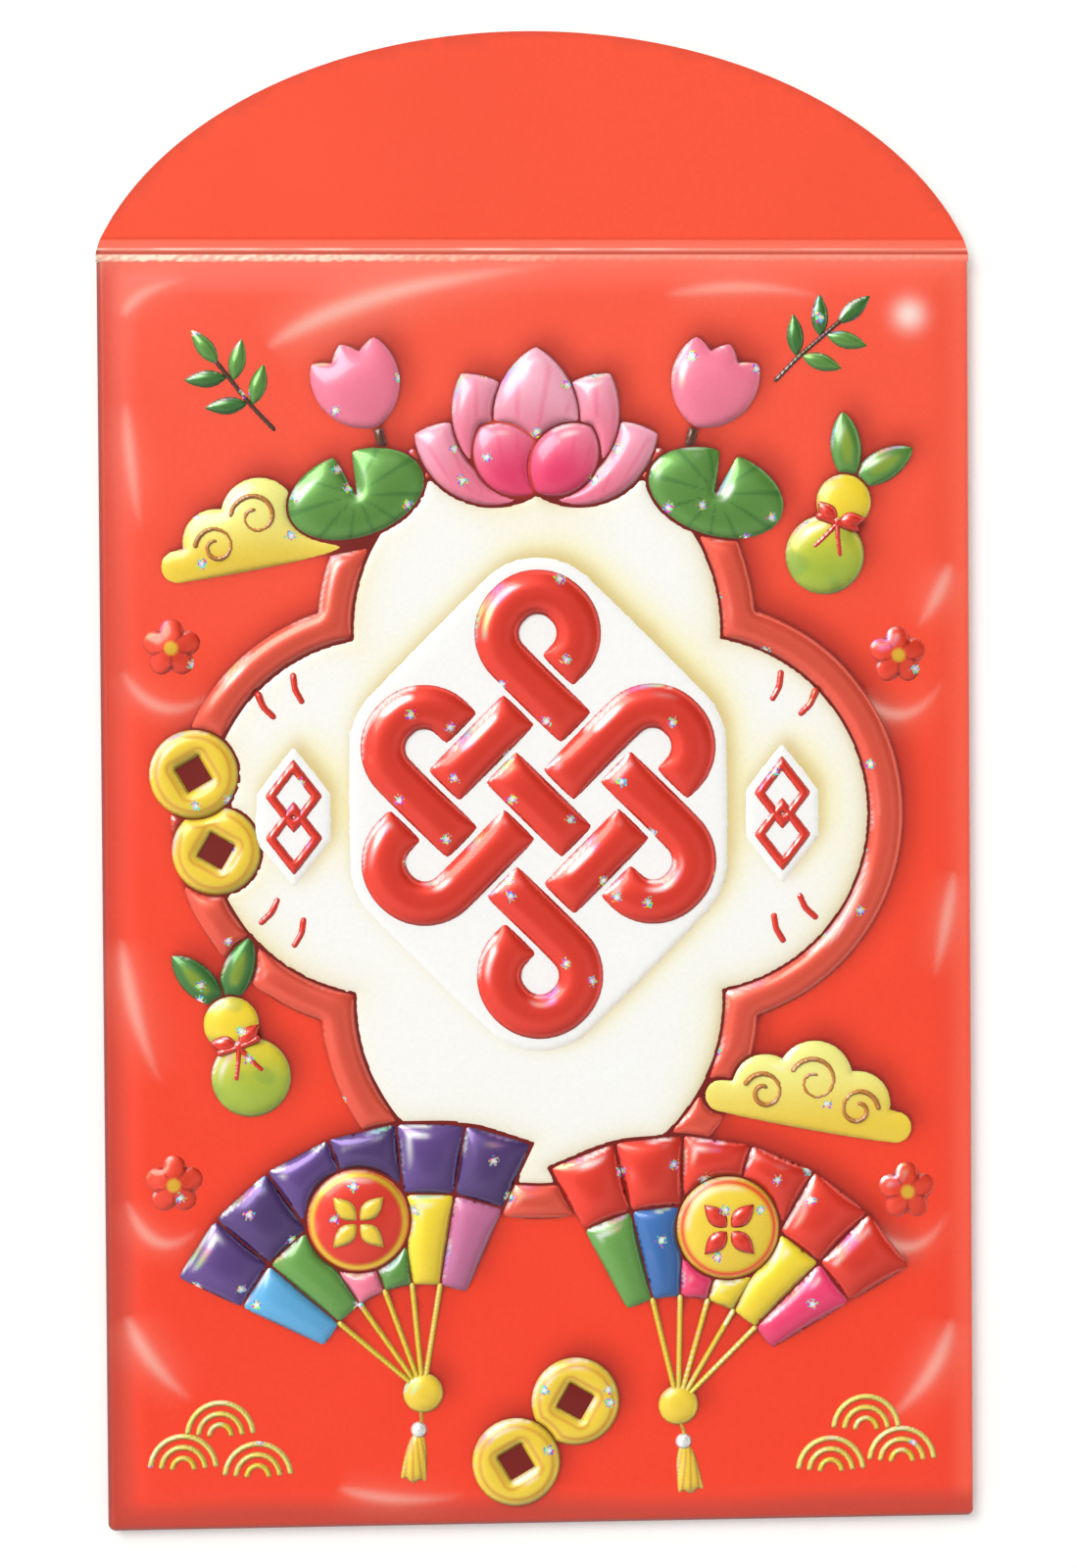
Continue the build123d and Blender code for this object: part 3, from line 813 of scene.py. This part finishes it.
# The two scores and the strip between them
flap_loop = footprints("closure_flap")[0][0]
flap_right = flap_loop[flap_loop[:, 0] > 0]
flap_right = flap_right[np.argsort(flap_right[:, 1])]


def half_width(v):
    """Half of the sheet's width near the scores."""
    if v <= CREASE_2:
        return np.interp(v, (CREASE_1, CREASE_2), (HALF_W, flap_right[:, 0].max()))
    return float(np.interp(v, flap_right[:, 1], flap_right[:, 0]))


def score_print(points):
    """Print at the scores: paper wear with a painted highlight at the shoulder, a thin painted highlight
    just above the first score, painted shade in the grooves, lighter between.
    """
    u, v = points.T
    first, second = v - CREASE_1, v - CREASE_2
    left = 1 - smooth(u, -30, 12)
    band = smooth(first, 0.15, 0.35) * (1 - smooth(second, -0.2, 0.1))
    glow = smooth(first, -BEND_BELOW, -0.3) * (1 - smooth(first, -0.1, 0.05))
    lower = first + 0.62 - 0.16 * waves(u, 0, 1.0, 25) + 0.1 * left
    upper = first + 0.14 - 0.05 * waves(u, 0, 0.8, 26)
    shoulder = smooth(lower, -0.14, 0.1) * (1 - smooth(upper, -0.06, 0.06))
    lumps = 0.6 * waves(u, 0, 6.0, 21) + 0.5 * waves(u, v, 1.5, 22) + 0.6 * waves(u, v, 0.55, 24)
    wear_and_sheen = (0.25 + 0.65 * smooth(lumps + 0.6 * left, -0.4, 1.1)) * (0.12 + 0.88 * left)
    thread = bell(first - 0.36, 0.08) * (0.35 + 0.5 * smooth(waves(u, v, 7.0, 23), -0.3, 0.5))
    thread = thread * (0.4 + 0.6 * (1 - smooth(u, 0, 30)))
    return layered(
        front_print(np.c_[u, np.minimum(v, CREASE_1)]),
        (RED_FLAP, smooth(v, CREASE_1 + 0.05, CREASE_2 + 0.2)),
        (SCORE_BAND, 0.6 * band),
        (SHOULDER_LIGHT, (0.3 + 0.3 * left) * glow),
        # Paper wear mixed with a painted highlight at the shoulder
        (PAPER_WEAR_AND_SHEEN, shoulder * wear_and_sheen),
        (THREAD_LIGHT, thread),
        # Painted shade in the grooves
        (CREASE_SHADE, 0.75 * bell(first, 0.13)),
        (FAINT_CREASE_SHADE, 0.4 * bell(second, 0.1)),
    )


ROW_STEP, COLUMNS, BEND_REACH = 0.05, 401, 0.3


def score_strip(name, start, stop):
    """A strip of the sheet across one score, with the grooves pressed into it."""
    rows = np.linspace(start, stop, round((stop - start) / ROW_STEP) + 1)
    columns = np.linspace(-1, 1, COLUMNS)
    groove = 0.13 * bell(rows - CREASE_1, 0.16) + 0.07 * bell(rows - CREASE_2, 0.14)
    top = np.array([(half_width(v) * c, v, FACE_Z - g) for v, g in zip(rows, groove) for c in columns])
    low = top.copy()
    low[:, 2] = INNER_Z
    n, count = len(columns), len(top)
    grid = np.arange(count).reshape(len(rows), n)
    face = [(a, a + 1, a + 1 + n, a + n) for a in grid[:-1, :-1].ravel()]
    under = [tuple(k + count for k in quad[::-1]) for quad in face]
    rim = np.concatenate([grid[0, :-1], grid[:-1, -1], grid[-1, :0:-1], grid[:0:-1, 0]])
    sides = [(b, a, a + count, b + count) for a, b in zip(rim, np.roll(rim, -1))]
    kinds = [0] * len(face) + [1] * len(under + sides)
    co = np.concatenate([top, low])
    colours = score_print(co[:, :2])
    piece = made_mesh(name, co, face + under + sides, colours, [matte, white_paper], kinds)
    sharpened(piece)
    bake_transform(piece)
    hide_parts("spine_strip")


score_strip("first_score", STRIP_START, STRIP_SPLIT)
score_strip("second_score", STRIP_SPLIT, STRIP_END)

# Closure flap beyond its score
dome = flap_loop[flap_loop[:, 1] > STRIP_END + FLAP_STEP]
dome = dome[np.argsort(np.arctan2(dome[:, 1] - STRIP_END, dome[:, 0]))]
foot = half_width(STRIP_END)
outline = np.concatenate([[(foot, STRIP_END)], dome, [(-foot, STRIP_END)]])
points, triangles, distance = filled([outline], FLAP_STEP)
tone = RED_FLAP * (1 + 0.02 * waves(*points.T, 25.0, 31))[:, None]
beyond = smooth(points[:, 1], STRIP_END + 0.1, STRIP_END + 2.0)
# Painted shade round the flap's cut rim beyond the score
tone = mixed(tone, RED_EDGE_SHADE, 0.4 * (1 - smooth(distance, 0.0, 0.6)) * beyond)
co = np.c_[points, np.full(len(points), FACE_Z)]
flap = made_mesh("flap_sheet", co, triangles, tone, [matte, white_paper])
carried(thickened(flap), "flap", "red_plain", "closure_flap")

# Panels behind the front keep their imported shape: printed outside, bare inside and at the cut edges
for node in ("back_panel", "bottom_flap", "side_tab"):
    mesh = frame["nodes"][node].data
    mesh.materials.clear()
    mesh.materials.append(plain_red)
    mesh.materials.append(white_paper)
    for polygon in mesh.polygons:
        polygon.material_index = 0 if polygon.normal.z < -0.5 else 1
for node in ("side_seam_glue", "bottom_flap_glue"):
    mesh = frame["nodes"][node].data
    mesh.materials.clear()
    mesh.materials.append(glue_film)


# Pale field with its glow, the border round it, the white plates on it and the knot
FIELD_V = 7.0
PAIR_U, PAIR_STEP = 22.4, 1.9
PAIR_PLATE = np.array([(3.5, 2.2), (0, 6.7), (-3.5, 2.2), (-3.5, -2.2), (0, -6.7), (3.5, -2.2)])
pair_plates = [[PAIR_PLATE + (side * PAIR_U, FIELD_V)] for side in (-1, 1)]
plate_rims = [resampled(s[0], 0.3) for s in footprints("knot_plate") + pair_plates]
plate_glow = soft_shadow(plate_rims, shift=(1.0, 1.3), blur=1.5)
plate_shade = soft_shadow(plate_rims, shift=(0.45, 0.6), blur=0.55)


def field_paint(_, spot):
    """White with yellow glow and tan shade beside the plates and along the rim."""
    points, rim = spot["points"], spot["distance"]
    uneven = 0.6 + 0.4 * waves(*points.T, 16.0, 47)
    return layered(
        WHITE,
        (GLOW, 0.95 * plate_glow(points)),
        (TAN, 0.75 * plate_shade(points)),
        (GLOW, 0.55 * np.exp(-rim / 2.0) * uneven),
        (TAN, 0.6 * np.exp(-rim / 0.7) * uneven),
    )


def plate_paint(_, spot):
    """White with tan shade on edges away from the light."""
    facing = spot["normals"][:, :2] @ PRINT_LIGHT
    return mixed(WHITE, TAN, 0.5 * smooth(-facing, 0.1, 0.7))


low_plate(
    "pale_field", footprints("lobed_field"), field_paint, "print_cream",
    level=RELIEF_Z, height=0.2, width=0.5, step=0.4, nodes=["lobed_field"],
)
low_plate(
    "white_plate", footprints("knot_plate"), plate_paint, "print_white",
    level=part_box("knot_plate")[0].z / MM, height=0.25, width=0.4, step=0.4, nodes=["knot_plate"],
)
raised_node("red_border", "field_border", in_colour(BORDER_RED, 0.6, 0.6, 41, alike=True), height=0.75)
knot_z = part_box("endless_knot")[0].z / MM
raised_node("knot", "endless_knot", in_colour(KNOT_RED, 0.9, 0.55, 43), height=0.95, step=0.24, level=knot_z)


# Fans
def fan_pieces(fan, band, pleats, roundel, emblem, emblem_slot):
    """One fan's raised print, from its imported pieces."""
    hub = footprints(f"{fan}_hub")[0][0].mean(0)

    def folds(colours, seed):
        """A paint for folds, with painted light on one side of each fold and painted shade on the other, and
        lighter toward the rim.
        """

        def paint(i, spot):
            from_hub = (spot["points"] - hub).T
            turn, reach = np.arctan2(*from_hub), np.hypot(*from_hub)
            across = (turn - turn.min()) / np.ptp(turn)
            along = (reach - reach.min()) / np.ptp(reach)
            # Painted light and shade across each fold
            tone = colours[i % len(colours)] * (1.12 - 0.3 * across + 0.12 * along)[:, None]
            return shaded(tone, spot, 0.8, 0.8, seed + i)

        return paint

    def roundel_paint(_, spot):
        """A disc with a ring of the emblem's colour inside its rim."""
        return mixed(shaded(roundel, spot, 0.5, 0.7, 77), emblem, bell(spot["distance"] - 0.55, 0.22))

    raised_node(f"{fan}_leaf", f"{fan}_band", folds(band, 51), height=1.0)
    raised_node(f"{fan}_folds", f"{fan}_pleats", folds(pleats, 61), height=0.85)
    ribs = []
    for loops in footprints(f"{fan}_ribs"):
        order = np.argsort(np.hypot(*(loops[0] - hub).T))
        far = loops[0][order[-2:]].mean(0)
        ribs.append([ribbon([hub, (hub + far) / 2, far], 0.6)])
    raised(
        f"{fan}_gold_ribs", ribs, in_colour(GOLD, 0.8, 0.5, 71), "print_gold",
        height=0.5, level=RELIEF_Z, nodes=[f"{fan}_ribs"], step=0.16, lift=1.2, bulge=0.7,
    )
    raised_node(f"{fan}_gold_hub", f"{fan}_hub", in_colour(GOLD, 0.8, 0.6, 78), height=0.95, step=0.2)
    raised_node(f"{fan}_disc", f"{fan}_roundel", roundel_paint, height=1.15, step=0.22)
    middle = footprints(f"{fan}_roundel")[0][0].mean(0)
    petals = [[turned(leaf(3.0, 1.7) + (0, 0.25), *middle, lean)] for lean in (45, 135, 225, 315)]
    raised(
        f"{fan}_emblem", petals, in_colour(emblem, 0.6, 0.6, 79), emblem_slot,
        height=0.4, level=RELIEF_Z + 1.1, step=0.18,
    )


fan_pieces(
    "left_fan", (PURPLE, PURPLE * 1.35), (MAUVE, SKY, GREEN, YELLOW, GREEN * 0.9, PINK),
    KNOT_RED, GOLD, "print_gold",
)
fan_pieces(
    "right_fan", (KNOT_RED, KNOT_RED * 0.93), (GREEN, HOT_PINK, YELLOW, BLUE, YELLOW, HOT_PINK),
    GOLD, KNOT_RED, "print_red",
)


# Lotus, buds, pads and stems
def petal_paint(i, spot):
    """A petal that pales toward its tip, with fine veins; the first two are darker."""
    u, v = (spot["points"] - spot["points"][np.argmin(spot["points"][:, 1])]).T
    vein = smooth(np.cos(34 * np.arctan2(u, v + 4.0)), 0.6, 1.0)
    base = layered(
        HOT_PINK if i < 2 else PINK,
        (PALE_PINK, smooth(np.hypot(u, v), 2.0, 11.0)),
        (HOT_PINK, 0.3 * vein * smooth(spot["distance"], 0.3, 1.2)),
    )
    return shaded(base, spot, 0.8, 0.6, 81 + i)


def pad_paint(i, spot):
    """A green pad with darker veins from its middle."""
    u, v = (spot["points"] - spot["points"].mean(0)).T
    vein = smooth(np.cos(np.arctan2(v, u) * 11), 0.75, 1.0) * smooth(np.hypot(u, v), 0.6, 1.6)
    return shaded(mixed(GREEN, LEAF, 0.7 * vein), spot, 0.7, 0.6, 91 + i)


raised_node("lotus", "lotus_flower", petal_paint, height=1.0, step=0.22)
raised_node("buds", "lotus_buds", in_colour(PINK, 0.8, 0.6, 85), height=0.95, step=0.22)
raised_node("pads", "lotus_pads", pad_paint, height=0.7, step=0.24)
raised_node("stems", "lotus_stems", in_colour(BROWN, 0.4, 0.5, 95, alike=True), height=0.45, step=0.18)


# Gourds, leaves, clouds and coins
def gourd_paint(i, spot):
    """Lime below and yellow above, with green patches."""
    u, v = spot["points"].T
    patches = smooth(waves(u, v, 3.0, 101 + i), 0.2, 0.8)
    tone = layered(LIME, (YELLOW, smooth(v - v.min(), 2.0, 9.0)), (GREEN, 0.35 * patches))
    return shaded(tone, spot, 0.8, 0.6, 103 + i)


def leaf_paint(i, spot):
    """Two greens in turn, lighter along the middle."""
    tone = mixed(LEAF if i % 2 else GREEN, LIME, 0.6 * smooth(spot["distance"], 0.7, 1.3))
    return shaded(tone, spot, 0.8, 0.7, 107 + i)


def coin_paint(i, spot):
    """Gold with a darker ring inside each edge."""
    tone = mixed(GOLD, GOLD_DARK, 0.75 * bell(spot["distance"] - 0.75, 0.16))
    return shaded(tone, spot, 0.75, 0.6, 111 + i)


def cloud_paint(i, spot):
    """Gold that pales toward the top."""
    v = spot["points"][:, 1]
    return shaded(mixed(GOLD, PALE_GOLD, smooth(v - v.mean(), -3.0, 3.0)), spot, 0.7, 0.6, 117 + i)


raised_node("gourd_pair", "gourds", gourd_paint, height=1.05, step=0.24)
raised_node("gourd_foliage", "gourd_leaves", leaf_paint, height=0.7, step=0.2)
raised_node("coins", "cash_coins", coin_paint, height=0.95, step=0.22)
raised_node("clouds", "gold_clouds", cloud_paint, height=0.7, step=0.24)

# Scrolls on the clouds: each curl's place, size and hand
CLOUD_U, CLOUD_V, CLOUD_TILT = 25.0, 26.0, 11.0
LEFT_CURLS = ((-4.4, -0.5, 1.9, 1), (-0.4, 1.5, 2.2, 1))
RIGHT_CURLS = ((-4.4, -0.5, 1.9, 1), (0.0, 1.3, 2.3, 1), (4.4, -0.5, 1.9, -1))
scrolls = []
for side, curls in ((-1, LEFT_CURLS), (1, RIGHT_CURLS)):
    for u, v, size, hand in curls:
        t = np.linspace(0, 1, 26)
        turn = math.pi / 2 + hand * (1.3 - 7.6 * t)
        curl = np.c_[np.cos(turn), np.sin(turn)] * (size * (1 - 0.72 * t))[:, None] + (u, v)
        cloud = (side * CLOUD_U, FIELD_V - side * CLOUD_V, -side * CLOUD_TILT)
        scrolls.append([turned(ribbon(curl, 0.5), *cloud)])
raised(
    "cloud_scrolls", scrolls, in_colour(GOLD_DARK, 0.4, 0.3, 119), "print_gold",
    height=0.5, level=RELIEF_Z + 0.5, step=0.16, lift=1.4, bulge=0.5,
)

# Red bows at the gourds' waists: a band, two loops, two tails and a knot
GOURD_U, GOURD_V, GOURD_TILT = 26.5, 23.75, 20.0
bow = [ribbon([(-1.75, 3.15), (0, 3.0), (1.75, 3.15)], 0.75)]
bow += [turned(leaf(2.7, 1.6), 0, 3.1, lean) for lean in (62, -62)]
bow += [ribbon([(0, 3.0), (0.5 * side, 1.8), (1.2 * side, 0.4)], 0.65) for side in (-1, 1)]
bow.append(ring_of(0.6) + (0, 3.1))
bows = []
for side in (1, -1):
    bows += [[turned(s, side * GOURD_U, FIELD_V + side * GOURD_V, -side * GOURD_TILT)] for s in bow]
raised(
    "gourd_bows", bows, in_colour(KNOT_RED, 0.7, 0.5, 151), "print_red",
    height=0.5, level=RELIEF_Z + 0.72, step=0.16, lift=1.2,
)

# Paired lozenges on their plates at the sides of the field
low_plate(
    "pair_plates", pair_plates, plate_paint, "print_white",
    level=RELIEF_Z + 0.2, height=0.2, width=0.35, step=0.35,
)
DIAMOND = np.array([(1, 0), (0, 1), (-1, 0), (0, -1)])
LOZENGE = [DIAMOND * halves for halves in ((2.7, 3.5), (1.5, 1.95))]
pairs = []
for side in (-1, 1):
    for v in (FIELD_V - PAIR_STEP, FIELD_V + PAIR_STEP):
        pairs.append([loop + (side * PAIR_U, v) for loop in LOZENGE])
raised(
    "paired_lozenges", pairs, in_colour(KNOT_RED, 0.8, 0.5, 127), "print_red",
    height=0.6, level=RELIEF_Z + 0.4, step=0.18,
)

# Leaf sprigs in the upper corners: each one's place, turn and hand
sprigs, twigs = [], []
for u, v, turn, hand in ((-27.5, 46.5, 38.0, 1), (26.0, 50.5, -50.0, -1)):
    for lean, along in ((0, 2.2), (56, 0.8), (-50, 0.2), (58, -2.2), (-54, -2.6)):
        sprig = turned(leaf(4.4, 1.7), 0, along, hand * lean)
        sprigs.append([turned(sprig, u, v, turn)])
    twig = ribbon([(0.3, -5.4), (0.0, -2.4), (0.0, 2.6)], 0.5)
    twigs.append([turned(twig, u, v, turn)])
twig_paint = in_colour(BROWN, 0.4, 0.5, 97, alike=True)
raised("twigs", twigs, twig_paint, "print_brown", height=0.4, step=0.16, lift=1.2, bulge=0.6)
raised("leaf_sprigs", sprigs, leaf_paint, "print_green", height=0.55, step=0.2)


# Blossoms in the ground's own red
def blossom_paint(i, spot):
    """Red with dark seams between petals and a gold heart."""
    from_middle = (spot["points"] - spot["points"].mean(0)).T
    reach, turn = np.hypot(*from_middle), np.arctan2(*from_middle)
    seam = smooth(np.cos(5 * turn + math.pi), 0.82, 1.0) * smooth(reach, 0.4, 0.9)
    base = layered(RED, (RED_DARK, 0.8 * seam), (GOLD, 0.8 * (1 - smooth(reach, 0.45, 0.75))))
    return shaded(base, spot, 0.65, 0.75, 121 + i)


BLOSSOM_PLACES = ((-33.4, 22.5), (33.2, 21.5), (-33.6, -26.5), (33.8, -28.0))
blossoms = [[blossom(2.8) + place] for place in BLOSSOM_PLACES]
raised("red_blossoms", blossoms, blossom_paint, "print_red", height=0.6, step=0.22)

# Short marks on the field
marks = []
for side in (-1, 1):
    for u, v, tilt in ((21.6, 17.6, -18), (24.2, 16.2, -34), (21.6, -2.4, 200), (24.0, -0.6, 216)):
        mark = ribbon([(0, 0), (0.25 * side, 1.2), (0, 2.4)], 0.7)
        marks.append([turned(mark, side * u, v, side * tilt)])
mark_paint = in_colour(KNOT_RED, 0.5, 0.4, 131, alike=True)
raised("field_marks", marks, mark_paint, "print_red", height=0.35, level=RELIEF_Z + 0.2, step=0.16)


# Wave ripples in the lower corners
def ripple_paint(i, spot):
    """The arches of a ripple in three tones of gold."""
    pale = 0.3 * (i % 3)
    return shaded(GOLD * (1 - pale) + PALE_GOLD * pale, spot, 0.6, 0.5, 161 + i)


ripples = []
for u, v in ((-33.0, -52.6), (-26.2, -53.4), (-29.6, -49.6), (33.2, -53.0), (26.6, -53.8), (29.9, -50.0)):
    for radius in (1.0, 2.0, 3.0):
        turn = np.linspace(0.12, math.pi - 0.12, 13)
        ripples.append([ribbon(np.c_[u + radius * np.cos(turn), v + radius * np.sin(turn)], 0.6)])
raised("gold_ripples", ripples, ripple_paint, "print_gold", height=0.5, step=0.18, lift=1.2, bulge=0.9)

# Tassels under the fans: a cord, a bead and a skirt, drawn from the hub
SKIRT_SIDE = [(0.55, -3.7), (0.95, -5.0), (1.3, -8.3), (0.65, -8.0)]
skirt = [(-0.55, -3.7), *SKIRT_SIDE, (0, -8.5)] + [(-u, v) for u, v in SKIRT_SIDE[:0:-1]]
cord = ribbon([(0, -1.8), (0.15, -2.5), (0, -3.2)], 0.45)
tassels, beads = [], []
for fan, swing in (("left_fan", -7.0), ("right_fan", 8.0)):
    hub = footprints(f"{fan}_hub")[0][0].mean(0)
    tassels += [[turned(part, *hub, swing)] for part in (cord, skirt)]
    bead = turned([(0, -3.4)], *hub, swing)[0]
    beads.append([ring_of(0.8) + bead])


def tassel_paint(i, spot):
    """Gold threads that fan out from the top."""
    top = spot["points"][np.argmax(spot["points"][:, 1])]
    turn = np.arctan2(spot["points"][:, 0] - top[0], top[1] + 3.0 - spot["points"][:, 1])
    return shaded(mixed(GOLD, GOLD_DARK, 0.8 * smooth(np.cos(turn * 60), 0.1, 0.9)), spot, 0.6, 0.6, 141 + i)


bead_paint = in_colour(WHITE * 0.97, 0.6, 0.5, 145, alike=True)
raised("tassels", tassels, tassel_paint, "print_gold", height=0.6, step=0.16, lift=1.0)
raised("tassel_beads", beads, bead_paint, "print_white", height=0.8, step=0.16, lift=1.3)

# Floor that sweeps up into a backdrop, light and camera
FLOOR_Z, FLOOR_REACH, SWEEP = -0.00005, 1.3, 1.2
profile = [(0.2, FLOOR_Z), (0.6, FLOOR_Z)]
for turn in np.linspace(0, math.pi / 2, 13):
    profile.append((FLOOR_REACH + SWEEP * math.sin(turn), FLOOR_Z + SWEEP * (1 - math.cos(turn))))
SIDES = 96
floor_points = [(0, 0, FLOOR_Z)]
for reach, z in profile:
    floor_points += [(x, y, z) for x, y in ring_of(reach, SIDES)]
floor_faces = [(0, 1 + i, 1 + (i + 1) % SIDES) for i in range(SIDES)]
for ring in range(len(profile) - 1):
    for i in range(SIDES):
        a, b = 1 + ring * SIDES + i, 1 + ring * SIDES + (i + 1) % SIDES
        floor_faces.append((a, a + SIDES, b + SIDES, b))
floor_mesh = bpy.data.meshes.new("floor")
floor_mesh.from_pydata(floor_points, [], floor_faces)
floor_mesh.polygons.foreach_set("use_smooth", np.ones(len(floor_faces), bool))
floor = new_object("floor", floor_mesh)
floor_material, nodes, surface = new_material("pale_floor")
light_path = nodes.add("ShaderNodeLightPath")
rays = light_path.outputs["Is Camera Ray"]
for kind in ("Is Glossy Ray", "Is Transmission Ray"):
    rays = nodes.work("MAXIMUM", rays, light_path.outputs[kind])
away = nodes.add("ShaderNodeVectorMath", operation="LENGTH")
nodes.put(away, {0: nodes.place()})
lift = nodes.spread(away.outputs["Value"], 0.14, 0.5, 0.15, 1.0)
nodes.put(surface, {
    "Base Color": (0.97, 0.95, 0.925, 1),
    "Roughness": 0.9,
    "Specular IOR Level": 0.1,
    "Emission Color": (1, 1, 1, 1),
    "Emission Strength": nodes.work("MULTIPLY", rays, lift),
})
floor_mesh.materials.append(floor_material)

world = bpy.data.worlds.new("studio")
bpy.context.scene.world = world
sky = Nodes(world)
sky_place = sky.add("ShaderNodeTexCoord").outputs["Generated"]


def sky_part(direction, near, far, low, high):
    """Brightness that changes toward a direction."""
    toward = sky.add("ShaderNodeVectorMath", operation="DOT_PRODUCT")
    sky.put(toward, {0: sky_place, 1: Vector(direction).normalized()})
    return sky.spread(toward.outputs["Value"], low, high, near, far, interpolation_type="SMOOTHSTEP")


bright_side = sky_part((-0.55, 0.2, 0.81), -0.3, 1.0, 0.25, 1.0)
dark_side = sky_part((0.62, 0.55, 0.56), 0.75, 1.0, 1.0, 0.1)
overhead = sky_part((0.0, 0.0, 1.0), 0.86, 0.98, 1.0, 0.4)
strength = sky.work("MULTIPLY", sky.work("MULTIPLY", bright_side, dark_side), overhead)
sky.put(sky.nodes["Background"], {"Color": (1, 1, 1, 1), "Strength": strength})

light_data = bpy.data.lights.new("key", "AREA")
light_data.size = 0.9
light_data.energy = 15.0
light = new_object("key", light_data)
light.location = (-0.75, 0.85, 1.3)
light.rotation_euler = (-light.location).to_track_quat("-Z", "Y").to_euler()

camera_data = bpy.data.cameras.new("camera")
camera_data.lens = 65.0
camera_data.sensor_width = 36.0
camera_data.clip_start = 0.01
camera = new_object("camera", camera_data)
camera.location = (-0.0110, 0.0039, 0.2615)
camera.rotation_euler = tuple(math.radians(a) for a in (-0.898, -2.433, -0.405))
bpy.context.scene.camera = camera
bpy.context.scene.view_settings.view_transform = "Standard"
